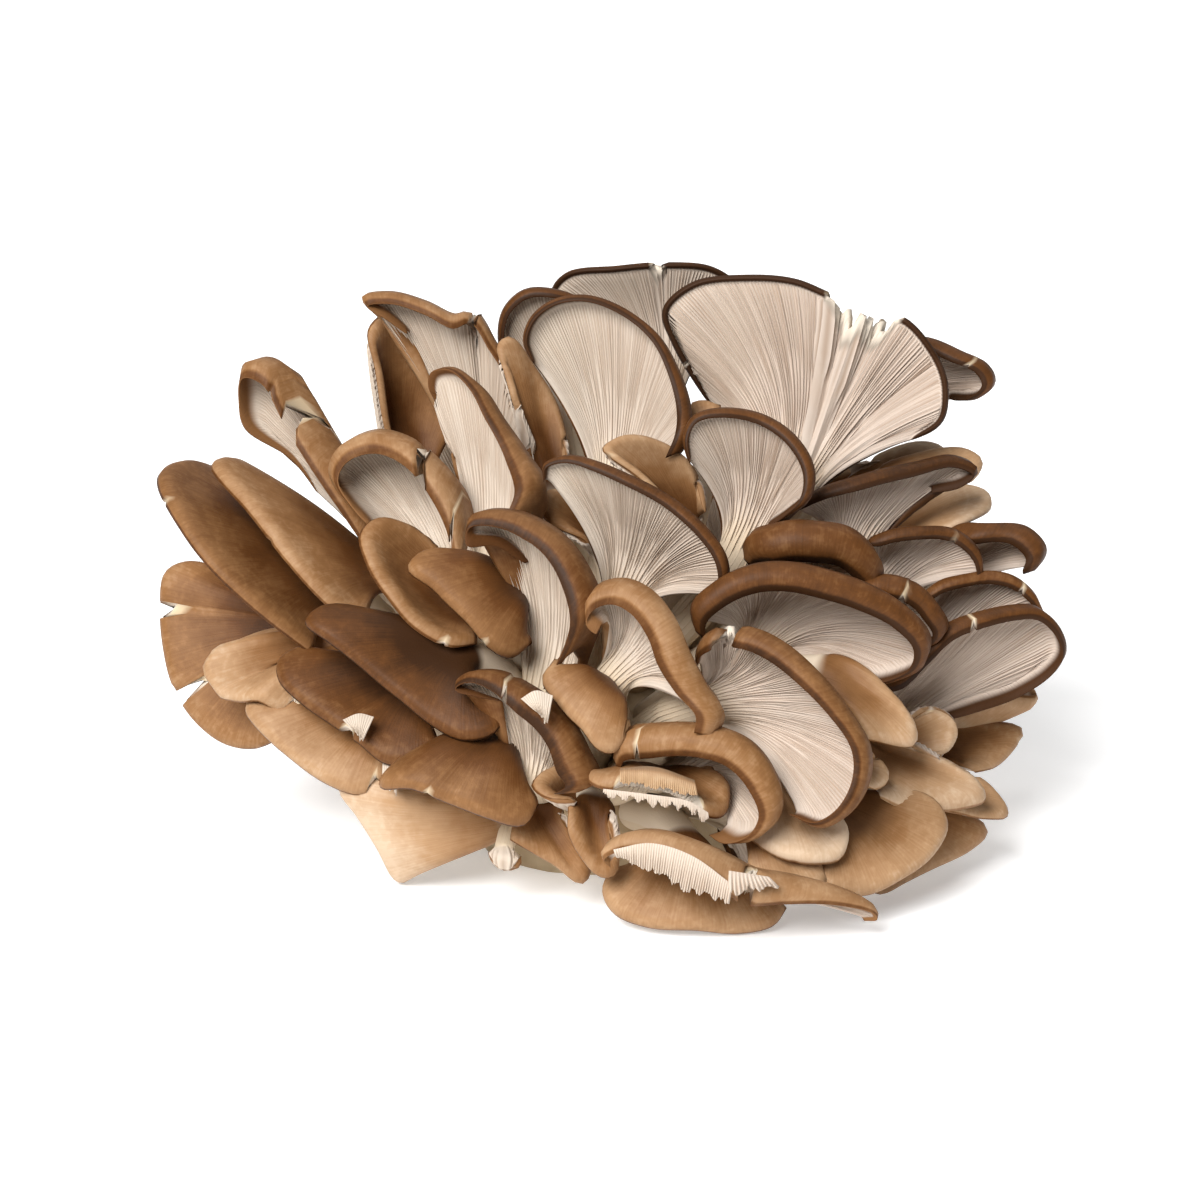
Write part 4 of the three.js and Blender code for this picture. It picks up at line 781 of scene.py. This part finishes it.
def fill_ramp(ramp_colour, stops):
    elements = ramp_colour.node.color_ramp.elements
    while len(elements) < len(stops):
        elements.new(0.5)
    for element, (place, colour) in zip(elements, stops):
        element.position = place
        element.color = linear(colour)


def start_material(name):
    material = bpy.data.materials.new(name)
    material.use_nodes = True
    material.node_tree.nodes.clear()
    return material, material.node_tree


def show(tree, shader):
    surface = tree.nodes.new("ShaderNodeOutputMaterial").inputs["Surface"]
    tree.links.new(shader, surface)


def show_flesh(tree, colour, roughness, shine, height, relief_mm, bump_strength):
    bump = add_node(
        tree, "Bump", {}, {"Height": height, "Distance": relief_mm * MM, "Strength": bump_strength}
    )
    shader = add_node(
        tree, "BsdfPrincipled", {},
        {"Base Color": colour, "Roughness": roughness, "Normal": bump, "IOR": MUSHROOM_IOR,
         "Specular IOR Level": shine},
    )
    show(tree, shader)


print("screen colour #8b6b4c in linear light:", [round(v, 3) for v in linear("#8b6b4c")])

# %% [markdown]
# The skin of an oyster mushroom's cap is dry, smooth and faintly silky, so light spreads
# over it in a broad soft gloss. Its brown lies in fine fibres that run out from the stem
# over pale flesh, so the fibres read the UV map, which is in millimetres. Mottles, pale
# flecks and a fine grain run every way alike and read the piece's own coordinates. The
# brown is darker toward the neck, partly as painted shade where the caps tuck under one
# another. It thins toward the rim and gathers to a dark line on it. Where the skin is torn,
# the flesh is nearly white. Painting would do this for one cap, but a network fits them all.
# A list of layers, each of which darkens or pales the brown, keeps it readable.

# %% Mushroom skin
FIBRE_MM = (0.7, 12)  # across the cap, and out along it
MOTTLE_MM = 11
FLECK_MM = 2.2
GRAIN_MM = 0.5
SKIN_STOPS = [
    (0.0, "#c9b095"), (0.25, "#aa8764"), (0.5, "#865f3b"), (0.75, "#5d391b"), (1.0, "#38210f"),
]
FLESH_COLOUR = "#d6c6b0"
TORN_COLOUR = "#d6c2a2"
SKIN_ROUGHNESS = 0.5
DRY_SHINE = 0.22  # under the usual half, for skin and gills that are dry and faintly downy
SKIN_RELIEF_MM = 0.2
SKIN_BUMP = 0.35


def skin_material():
    material, tree = start_material("Dry silky mushroom skin")
    spot = add_node(tree, "TexCoord", {}, {}, "Object")
    place = add_node(tree, "TexCoord", {}, {}, "UV")
    along, tone, torn = (
        add_node(tree, "Attribute", {"attribute_name": name}, {}, "Fac")
        for name in ("along", "tone", "torn")
    )
    outward = add_node(
        tree, "Mapping", {}, {"Vector": place, "Scale": (1 / FIBRE_MM[0], 1 / FIBRE_MM[1], 1)}
    )
    fibre, mottle, fleck, grain = (
        add_node(tree, "TexNoise", {}, {"Vector": vector, "Scale": scale, "Detail": 2.0})
        for vector, scale in (
            (outward, 1.0),
            (spot, 1 / (MOTTLE_MM * MM)),
            (spot, 1 / (FLECK_MM * MM)),
            (spot, 1 / (GRAIN_MM * MM)),
        )
    )
    eased = {"interpolation_type": "SMOOTHSTEP"}
    paling = add_node(
        tree, "MapRange", eased,
        {"Value": along, "From Min": 0.5, "From Max": 0.85, "To Min": -0.02, "To Max": -0.08},
    )
    darkness = tone
    # what a layer follows, from where to where, and what it adds to the tone at either end
    for value, start, end, low, high in (
        (fibre, 0.25, 0.75, -0.03, 0.03),
        (mottle, 0.3, 0.7, -0.055, 0.055),
        (fleck, 0.42, 0.75, 0.0, paling),  # clearer toward the rim
        # the darkening toward the neck is partly painted shade, where the caps tuck under one another
        (along, 0.3, 0.95, 0.28, -0.11),  # dark at the neck, pale short of the rim
        (along, 0.97, 0.985, 0.0, 0.3),  # the dark line on the rim
    ):
        layer = add_node(
            tree, "MapRange", eased,
            {"Value": value, "From Min": start, "From Max": end, "To Min": low, "To Max": high},
        )
        darkness = add_node(tree, "Math", {"operation": "ADD"}, {0: darkness, 1: layer})
    colour = add_node(tree, "ValToRGB", {}, {"Fac": darkness})
    fill_ramp(colour, SKIN_STOPS)
    on_stem = add_node(
        tree, "MapRange", eased,
        {"Value": along, "From Min": 0.0, "From Max": 0.15, "To Min": 1.0, "To Max": 0.0},
    )
    for amount, paler in ((on_stem, FLESH_COLOUR), (torn, TORN_COLOUR)):
        colour = add_node(
            tree, "Mix", {"data_type": "RGBA"}, {"Factor": amount, 6: colour, 7: linear(paler)}, 2
        )
    height = add_node(tree, "Math", {"operation": "ADD"}, {0: fibre, 1: grain})
    show_flesh(tree, colour, SKIN_ROUGHNESS, DRY_SHINE, height, SKIN_RELIEF_MM, SKIN_BUMP)
    return material


mushroom_skin = skin_material()
print("skin fibres:", FIBRE_MM[0], "mm wide and", FIBRE_MM[1], "mm long")

# %% [markdown]
# Gills are thin blades of pale matt flesh, cream on the left of the cluster and a greyer
# pink on its right. Little light comes back from between them, so the valleys take a
# deeper tone as well as a real depth. They yellow where they run down the stem and take
# the skin's brown at the rim, where the skin curls over. Faint stains run out along the
# blades, and each blade's edge is a little uneven.

# %% Mushroom gills
GILL_CREAM = "#cfc1b1"
GILL_GREY = "#c8b8aa"
# the valley colour is painted shade between the gills
GILL_LAYERS = {"stain": "#b3957a", "stem": "#d9c29c", "valley": "#87694f", "torn": "#dacdbc"}
STAIN_MM = (4, 16, 3)  # across, outward, and how many octaves of detail
BLADE_MM = (0.45, 8, 2)
GILL_ROUGHNESS = 0.65
GILL_RELIEF_MM = 0.3
GILL_BUMP = 0.4
GREYING_MM = (-30, 90)  # to the right of the middle, where cream turns to grey


def gill_material():
    material, tree = start_material("Soft mushroom gills")
    place = add_node(tree, "TexCoord", {}, {}, "UV")
    spot = add_node(tree, "TexCoord", {}, {}, "Object")
    along, valley, torn, tone = (
        add_node(tree, "Attribute", {"attribute_name": name}, {}, "Fac")
        for name in ("along", "valley", "torn", "tone")
    )
    noises = []
    for across_mm, out_mm, detail in (STAIN_MM, BLADE_MM):
        mapped = add_node(
            tree, "Mapping", {}, {"Vector": place, "Scale": (1 / across_mm, 1 / out_mm, 1)}
        )
        noises.append(add_node(
            tree, "TexNoise", {"noise_dimensions": "2D"},
            {"Vector": mapped, "Scale": 1.0, "Detail": detail, "Roughness": 0.5},
        ))
    stain, blade = noises
    to_right = add_node(tree, "SeparateXYZ", {}, {0: spot}, "X")
    amounts = []
    # what an amount follows, from where to where, and how much it is at either end
    for value, start, end, low, high in (
        (to_right, GREYING_MM[0] * MM, GREYING_MM[1] * MM, 0.0, 1.0),
        (stain, 0.5, 0.8, 0.0, 0.22),
        (along, 0.03, 0.4, 0.5, 0.0),
        # painted shade in the valleys between the gills
        (valley, 0.0, 1.0, 0.0, 0.55),
        (along, 0.89, 0.95, 0.0, 1.0),
    ):
        amounts.append(add_node(
            tree, "MapRange", {"interpolation_type": "SMOOTHSTEP"},
            {"Value": value, "From Min": start, "From Max": end, "To Min": low, "To Max": high},
        ))
    greyed, stained, near_stem, valley_shade, at_rim = amounts
    rim_colour = add_node(tree, "ValToRGB", {}, {"Fac": tone})
    fill_ramp(rim_colour, SKIN_STOPS)
    colour = linear(GILL_CREAM)
    for amount, next_colour in (
        (greyed, linear(GILL_GREY)),
        (stained, linear(GILL_LAYERS["stain"])),
        (near_stem, linear(GILL_LAYERS["stem"])),
        (valley_shade, linear(GILL_LAYERS["valley"])),
        (at_rim, rim_colour),
        (torn, linear(GILL_LAYERS["torn"])),
    ):
        colour = add_node(
            tree, "Mix", {"data_type": "RGBA"}, {"Factor": amount, 6: colour, 7: next_colour}, 2
        )
    show_flesh(tree, colour, GILL_ROUGHNESS, DRY_SHINE, blade, GILL_RELIEF_MM, GILL_BUMP)
    return material


mushroom_gills = gill_material()
print("gills stand", GILL_SPACING, "mm apart")

# %% [markdown]
# Now the mushrooms grow. Each one gets its own random draw, so that a change to one never
# moves the others. Its gills are spread along the rim a little unevenly, with a column for
# every ridge and every valley.

# %% Spreading the gills
FEWEST_GILLS = 8
SPREAD = 0.25  # of the space between two columns, how far either may stray


def spread_columns(row, own, random):
    rim_length = line_length(row[3])
    spacing = own.get("spacing", GILL_SPACING if row[1] < 0 else HIDDEN_GILL_SPACING)
    gills = max(FEWEST_GILLS, round(rim_length / spacing))
    u = np.linspace(-1, 1, 2 * gills + 1)
    u[1:-1] += random.uniform(-SPREAD, SPREAD, 2 * gills - 1) * (u[1] - u[0])
    return u, rim_length, column_reach(own, random, u, rim_length)


widest = max(MUSHROOMS, key=lambda row: line_length(row[3]))
print("the longest rim is that of", widest[0])

# %% [markdown]
# A material has to know where on the mushroom it is. That can't be told from a place in
# space, but the curves above know it: how far out and how deep between two gills a point
# lies, whether it is torn, and how dark the skin is there. So these values are kept on the
# points. How deep a point lies between two gills becomes painted shade in the gills'
# material. A fan that shows its gills has a dark rim, and its back is painted paler toward
# the neck, as painted light on the side that the lamps leave in shade.

# %% What the materials read
# painted light: the back of a fan that shows its gills is made paler by this share of the skin's range,
# against the shade the lamps leave there
BACK_PAINTED_LIGHT = 0.35
BACK_PAINTED_LIGHT_SPAN = (0.55, 0.3)  # how far out it is palest, and over how much more it darkens
TORN_REACH = (0.99, 0.03)  # a column shorter than this is torn, fully so a little below it
TORN_PART = (0.9, 0.08)  # of the way out, where torn flesh begins and how soon it is bare
GRAIN_SHIFT = 500  # how far at most one cap's grain is moved against another's


def mushroom_layers(row, own, random, u, reach, relief, rim_length):
    stem_steps = np.arange(STEM_ROWS) / STEM_ROWS - 1
    along = np.concatenate([stem_steps, np.linspace(0, 1, CAP_ROWS + CURL_ROWS)])
    along = np.repeat(along[:, None], len(u), axis=1)
    proud = relief / own["gills"]
    # how deep a point lies between two gills, which the gills' material turns into painted shade
    valley = np.zeros_like(relief)
    valley[:, 2:-1:2] = (proud[:, 1:-2:2] + proud[:, 3::2]) / 2
    neck, rim_middle = np.array(row[2]), np.array(row[3][len(row[3]) // 2])
    length = np.linalg.norm(neck - rim_middle)
    torn = smooth((TORN_REACH[0] - reach) / TORN_REACH[1])
    bare = smooth((along - TORN_PART[0]) / TORN_PART[1])
    paler = BACK_PAINTED_LIGHT * (row[1] < 0)
    return {
        "across_mm": np.repeat(u[None] * rim_length / 2, len(along), axis=0),
        "out_mm": along * length + random.uniform(0, GRAIN_SHIFT),
        "along": along,
        "valley": np.clip(valley, 0, 1),
        "torn": torn * bare,
        # a fan's back is painted paler here, as painted light on its shaded side
        "tone": own["tone"] - paler * (1 - smooth((along - BACK_PAINTED_LIGHT_SPAN[0]) / BACK_PAINTED_LIGHT_SPAN[1])),
    }


print("a fan's back is paler than its rim by", BACK_PAINTED_LIGHT, "of the skin's whole range")

# %% [markdown]
# A mushroom is made of two sheets, one of gills and one of skin, that lie half a thickness
# to either side of its middle surface. The smooth skin needs only every second column. Each
# gill's edge sways a little between its neighbours, as a thin blade does that nothing holds.

# %% Growing one mushroom
SWAY_TURNS = 7  # radians from the neck to the rim
GILL_ENDS = 8  # the higher this power, the nearer to a cap's two sides its gills stay high


def grow_mushroom(row, random):
    own = {**USUAL, **row[5]}
    u, rim_length, reach = spread_columns(row, own, random)
    points, normals, halves, share = middle_surface(row, random, u, reach)
    relief = gill_relief(random, len(u), share) * own["gills"] * (1 - u**GILL_ENDS)
    gill_points = points - normals * (halves + relief)[..., None]
    phases = random.uniform(0, ANY_PHASE, len(u) // 2)
    sway = GILL_SWAY * np.sin(phases + SWAY_TURNS * share[:, 1::2])
    beside = gill_points[STEM_ROWS:, 2::2] - gill_points[STEM_ROWS:, :-1:2]
    gill_points[STEM_ROWS:, 1::2] += beside * sway[..., None]
    skin_points = points + normals * halves[..., None]

    layers = mushroom_layers(row, own, random, u, reach, relief, rim_length)
    gill_sheet, column = make_sheet(row[0], gill_points, layers, mushroom_gills)
    sharpen_ridges(gill_sheet, column)
    skin_layers = {title: values[:, ::2] for title, values in layers.items()}
    skin_sheet, _ = make_sheet(row[0] + "_skin", skin_points[:, ::2], skin_layers, mushroom_skin)
    return sew(gill_sheet, skin_sheet)


print("mushrooms that show their gills:", sum(row[1] < 0 for row in MUSHROOMS))

# %% [markdown]
# Where a cap was broken, its torn gills hang down as a ragged pale curtain, and shreds of
# flesh curl away. Each is a sheet hung between two lines, pleated like the gills that it
# came from, and Solidify gives it the thickness of a gill. A cloth simulation would drape
# them too, but it is slow and these need to lie in known places.

# %% Torn shreds
SHRED_ROWS = 8
SHRED_THICKNESS = 0.4
FEWEST_PLEATS = 4
PLEAT_DEPTHS = (0.5, 1.3)  # the least and the most, beside the shred's own
TORN_OFF = (0.6, 0.4)  # what waves and what chance add to how much of a column is gone
TORN_OFF_TURNS = (9, 17)  # radians, as of a bite
TORN_OFF_BEND = 2
SHRED_PLACE = {1: 0.9, -1: 0.6}  # how far out on a cap its skin or its gills are coloured for
# painted shade in the valleys of a gill shred's pleats
SHRED_VALLEY_SHADE = 0.8
GILL_SHRED_TONE = 0.3
SHRED_TORN = 0.15  # how white its flesh is
CRUST_TONE = 0.95  # at the top edge of a shred that has its skin
CRUST_FADE = (0.55, 0.35)  # how much paler it is further down, and how soon
# the mushroom it hangs on, side (1 skin, -1 gills), top line, bottom line,
# its pleats' spacing and depth, its belly, and how ragged it is
SHREDS = [
    ["front_split_fan", -1, [[4, -74, 77], [15, -72, 79], [27, -75.5, 81], [39, -84, 82]],
     [[5, -76.5, 75], [13, -80.5, 77], [27, -87.5, 79], [38, -90.5, 80]], 0.8, 0.5, 1, 0.3],
    ["front_split_fan", -1, [[38, -80, 82], [50, -82, 80]],
     [[38, -90, 81], [46, -87, 80], [54, -86, 78]], 1.1, 0.9, 1.5, 0.6],
    ["front_broken_cap", -1, [[1, -56, 76.5], [14, -57.5, 78], [26, -59.5, 78], [32, -63, 76]],
     [[1, -58.5, 76.5], [14, -61.5, 77.5], [26, -63.5, 77.5], [32.5, -67.5, 75.5]], 0.5, 0.25, 0, 0.8],
    ["front_broken_cap", 1, [[6, -50, 75.5], [16, -49.5, 76.5], [28, -53.5, 75.5]],
     [[6, -54.5, 77.5], [16, -56.5, 78.5], [29, -59, 77.5]], 0.6, 0.2, 0.4, 0.3],
    ["front_torn_fan", -1, [[-23.5, -29.5, 71], [-19, -27, 73], [-14, -28.5, 74]],
     [[-17.5, -34, 76], [-16, -38, 75]], 0.9, 0.25, 2, 0.25],
    ["left_mid_cap", -1, [[-78, -36.5, 43.5], [-73, -34.5, 45.5], [-68.5, -35.5, 46]],
     [[-73.5, -40, 47], [-72.5, -44, 46]], 0.9, 0.25, 2, 0.3],
    ["left_low_cap", -1, [[-66, -48, 39], [-60.5, -49.5, 43]],
     [[-66, -58, 40], [-62, -60, 43]], 0.9, 0.3, 3, 0.4],
    ["left_ruffled_cap", -1, [[-94.5, -24.5, 29], [-90.5, -25, 30]],
     [[-94, -32, 31], [-91.5, -32, 31]], 0.8, 0.1, 1, 0.4],
]


def hang_shred(shred, random):
    owner, side, top, bottom, spacing, pleat, belly, ragged = shred
    width = line_length(top)
    u = np.linspace(-1, 1, 2 * max(FEWEST_PLEATS, round(width / spacing)) + 1)
    slow = TORN_OFF_TURNS[0] * u + random.uniform(0, ANY_PHASE)
    waves = 0.5 + 0.5 * np.sin(slow + TORN_OFF_BEND * np.sin(TORN_OFF_TURNS[1] * u))
    lost = ragged * (TORN_OFF[0] * waves + TORN_OFF[1] * random.uniform(0, 1, len(u)))
    down = np.linspace(0, 1, SHRED_ROWS)[:, None] * (1 - lost)
    high, low = (walk(np.array(line, float), u) for line in (top, bottom))
    places = high + (low - high) * down[..., None]
    fold = np.arange(len(u)) % 2
    depth = pleat * (2 * fold - 1) * random.uniform(*PLEAT_DEPTHS, len(u))
    places[..., 2] += belly * np.sin(math.pi * down) + depth * down
    crust = CRUST_TONE - CRUST_FADE[0] * smooth(down / CRUST_FADE[1])
    layers = {
        "across_mm": np.repeat(u[None] * width / 2, SHRED_ROWS, axis=0),
        "out_mm": down * np.linalg.norm(low - high, axis=1) + random.uniform(0, GRAIN_SHIFT),
        "along": np.full_like(down, SHRED_PLACE[side]),
        "valley": np.repeat(SHRED_VALLEY_SHADE * (1.0 - fold[None]), SHRED_ROWS, axis=0),
        "torn": np.full_like(down, SHRED_TORN),
        "tone": crust if side > 0 else np.full_like(down, GILL_SHRED_TONE),
    }
    material = mushroom_skin if side > 0 else mushroom_gills
    sheet, _ = make_sheet(owner + "_shred", places, layers, material)
    choose([sheet])
    wall = sheet.modifiers.new("thickness", "SOLIDIFY")
    wall.thickness = SHRED_THICKNESS * MM
    wall.offset = 0
    bpy.ops.object.modifier_apply(modifier=wall.name)
    return sheet


print("torn shreds to hang:", len(SHREDS))

# %% [markdown]
# Mushrooms that share a node are joined into one piece with their shreds, and the piece
# stands for that node in the frame. It rides on the one body that the cluster has.

# %% Growing every bunch
triangles = 0
for owner in [row for row in MUSHROOMS if "with" not in row[5]]:
    bunch = [owner] + [row for row in MUSHROOMS if row[5].get("with") == owner[0]]
    grown = [grow_mushroom(row, np.random.default_rng(MUSHROOMS.index(row))) for row in bunch]
    names = [row[0] for row in bunch]
    grown += [
        hang_shred(shred, np.random.default_rng(k)) for k, shred in enumerate(SHREDS) if shred[0] in names
    ]
    choose(grown)
    if len(grown) > 1:
        bpy.ops.object.join()
    piece = grown[0]
    piece.name = owner[0] + "_grown"
    triangles += sum(len(face.vertices) - 2 for face in piece.data.polygons)
    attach(piece, "root")
    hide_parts(owner[0])
print("mushroom triangles:", triangles)

# %% [markdown]
# The butt is the solid foot that all the stems grow from: dense, fibrous, off-white flesh,
# cut flat underneath. It could be carved from a cube, but a sphere is nearer to its round
# sides. It is scaled to the frame's butt, made lumpy by a cloud texture, and cut by a
# bisect that fills the flat face.

# %% The butt
BUTT_CENTRE = 0.25  # of the solid butt's height
BUTT_RADII = (0.46, 0.46, 0.68)  # of its width, depth and height
LUMP_HEIGHT = 4
LUMP_SIZE = 20
CUT_HEIGHT = 0.2
CRISP_ANGLE = math.radians(40)  # edges sharper than this stay crisp, as the cut's is

low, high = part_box("butt")
size = [above - below for below, above in zip(low, high)]
middle = [(below + above) / 2 for below, above in zip(low, high)]
bpy.ops.object.select_all(action="DESELECT")
bpy.ops.mesh.primitive_uv_sphere_add(
    segments=96, ring_count=64, radius=1, location=(middle[0], middle[1], size[2] * BUTT_CENTRE)
)
butt = bpy.context.object
butt.name = "butt_grown"
butt.scale = [whole * share for whole, share in zip(size, BUTT_RADII)]
bpy.ops.object.transform_apply(location=True, rotation=True, scale=True)
lumps = bpy.data.textures.new("butt lumps", "CLOUDS")
lumps.noise_scale = LUMP_SIZE * MM
uneven = butt.modifiers.new("lumps", "DISPLACE")
uneven.texture = lumps
uneven.texture_coords = "GLOBAL"
uneven.strength = LUMP_HEIGHT * MM
bpy.ops.object.modifier_apply(modifier=uneven.name)
bpy.ops.object.mode_set(mode="EDIT")
bpy.ops.mesh.select_all(action="SELECT")
bpy.ops.mesh.bisect(
    plane_co=(0, 0, CUT_HEIGHT * MM), plane_no=(0, 0, 1), use_fill=True, clear_inner=True
)
bpy.ops.mesh.select_all(action="SELECT")
bpy.ops.mesh.normals_make_consistent(inside=False)
bpy.ops.object.mode_set(mode="OBJECT")
bpy.ops.object.shade_smooth_by_angle(angle=CRISP_ANGLE)
print("butt:", len(butt.data.polygons), "faces")

# %% [markdown]
# The butt's flesh is drier and tougher than a cap's. Its upright fibres show as fine
# ridges, and it is blotched tan. Its colours are also painted darker than the stems' flesh,
# as painted shade where it sits under the caps, so it catches the eye less.

# %% Butt flesh
BUTT_FIBRE_MM = 1.5
BLOTCHES = 60  # in a metre, each some 17 mm wide
UPRIGHT = (1, 1, 0.12)  # stretches the fibres along their length
# tan blotches, with the whole ramp painted darker than the stems' flesh as painted shade under the caps
BUTT_BLOTCH_AND_SHADE_STOPS = [(0.3, "#cdbb9c"), (0.7, "#9c8464")]
BUTT_ROUGHNESS = 0.8
BUTT_SHINE = 0.5
BUTT_RELIEF_MM = 0.5
BUTT_BUMP = 0.6


def butt_material():
    material, tree = start_material("Fibrous mushroom flesh")
    place = add_node(tree, "TexCoord", {}, {}, "Object")
    stretched = add_node(tree, "Mapping", {}, {"Vector": place, "Scale": UPRIGHT})
    fibre, blotch = (
        add_node(tree, "TexNoise", {}, {"Vector": vector, "Scale": scale, "Detail": 3.0})
        for vector, scale in ((stretched, 1 / (BUTT_FIBRE_MM * MM)), (place, BLOTCHES))
    )
    colour = add_node(tree, "ValToRGB", {}, {"Fac": blotch})
    fill_ramp(colour, BUTT_BLOTCH_AND_SHADE_STOPS)
    show_flesh(tree, colour, BUTT_ROUGHNESS, BUTT_SHINE, fibre, BUTT_RELIEF_MM, BUTT_BUMP)
    return material


butt.data.materials.append(butt_material())
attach(butt, "root")
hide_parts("butt")
print("butt fibres are", BUTT_FIBRE_MM, "mm apart")

# %% [markdown]
# The floor is a wide sheet of white paper, quite matt. A plane large enough to fill the
# view past the cluster leaves no horizon, and a faint glow keeps it as even as a lit
# studio table.

# %% The floor
FLOOR_SIZE = 12  # metres
FLOOR_CENTRE = (0, 3, 0)  # most of it lies behind
PAPER_COLOUR = "#f4f4f4"
GLOW_COLOUR = "#ffffff"
PAPER_ROUGHNESS = 0.9
FLOOR_GLOW = 0.3

bpy.ops.object.select_all(action="DESELECT")
bpy.ops.mesh.primitive_plane_add(size=FLOOR_SIZE, location=FLOOR_CENTRE)
floor = bpy.context.object
floor.name = "floor"
bpy.ops.object.transform_apply(location=True, rotation=True, scale=True)
paper, tree = start_material("White paper")
finish = add_node(
    tree, "BsdfPrincipled", {},
    {"Base Color": linear(PAPER_COLOUR), "Roughness": PAPER_ROUGHNESS,
     "Emission Color": linear(GLOW_COLOUR), "Emission Strength": FLOOR_GLOW},
)
show(tree, finish)
floor.data.materials.append(paper)
print("floor:", FLOOR_SIZE, "m wide")

# %% [markdown]
# A long lens a metre and a half away looks down on the cluster by eighteen degrees, as far
# as the cluster leans back. A long lens keeps the near caps from swelling beside the far
# ones.

# %% The camera
CAMERA_DISTANCE = 1.5  # metres
LOOK_AT = (0, 0, LEAN_CENTRE_HEIGHT * MM)
LENS_MM = 144
SENSOR_MM = 36
SEES_AS_FAR_AS = 50  # metres

camera_data = bpy.data.cameras.new("camera")
camera = bpy.data.objects.new("camera", camera_data)
bpy.context.scene.collection.objects.link(camera)
camera_data.lens = LENS_MM
camera_data.sensor_width = SENSOR_MM
camera_data.clip_end = SEES_AS_FAR_AS
camera.location = (
    LOOK_AT[0],
    LOOK_AT[1] - CAMERA_DISTANCE * math.cos(LEAN),
    LOOK_AT[2] + CAMERA_DISTANCE * math.sin(LEAN),
)
camera.rotation_euler = (math.pi / 2 - LEAN, 0, 0)
bpy.context.scene.camera = camera
print("camera at", [round(v, 3) for v in camera.location])

# %% [markdown]
# The light is soft. A wide window at the upper left models the caps and drops a gentle
# shadow to the right. A ceiling fills the hollows from above, and a pale wall keeps the
# back readable. Each is a sun, since a sun lights every cap alike wherever it stands, and
# its width makes it soft. The surroundings add only a little, so the hollows stay deep.

# %% The light
# name, strength, how wide it is in degrees, tilt
LIGHTS = [
    ("wide window", 4.7, 34, (41, -31, 0)),
    ("soft ceiling", 0.8, 60, (-8, 4, 0)),
    ("pale wall behind", 0.7, 90, (-55, 10, 0)),
]
SURROUNDINGS = 0.06

for name, energy, angle, tilt in LIGHTS:
    light_data = bpy.data.lights.new(name, "SUN")
    light_data.energy = energy
    light_data.angle = math.radians(angle)
    light = bpy.data.objects.new(name, light_data)
    light.rotation_euler = [math.radians(turn) for turn in tilt]
    bpy.context.scene.collection.objects.link(light)

world = bpy.data.worlds.new("white surroundings")
bpy.context.scene.world = world
world.use_nodes = True
background = world.node_tree.nodes["Background"]
background.inputs["Color"].default_value = (1, 1, 1, 1)
background.inputs["Strength"].default_value = SURROUNDINGS
bpy.context.scene.view_settings.view_transform = "Standard"
print("lights:", ", ".join(name for name, *_ in LIGHTS))
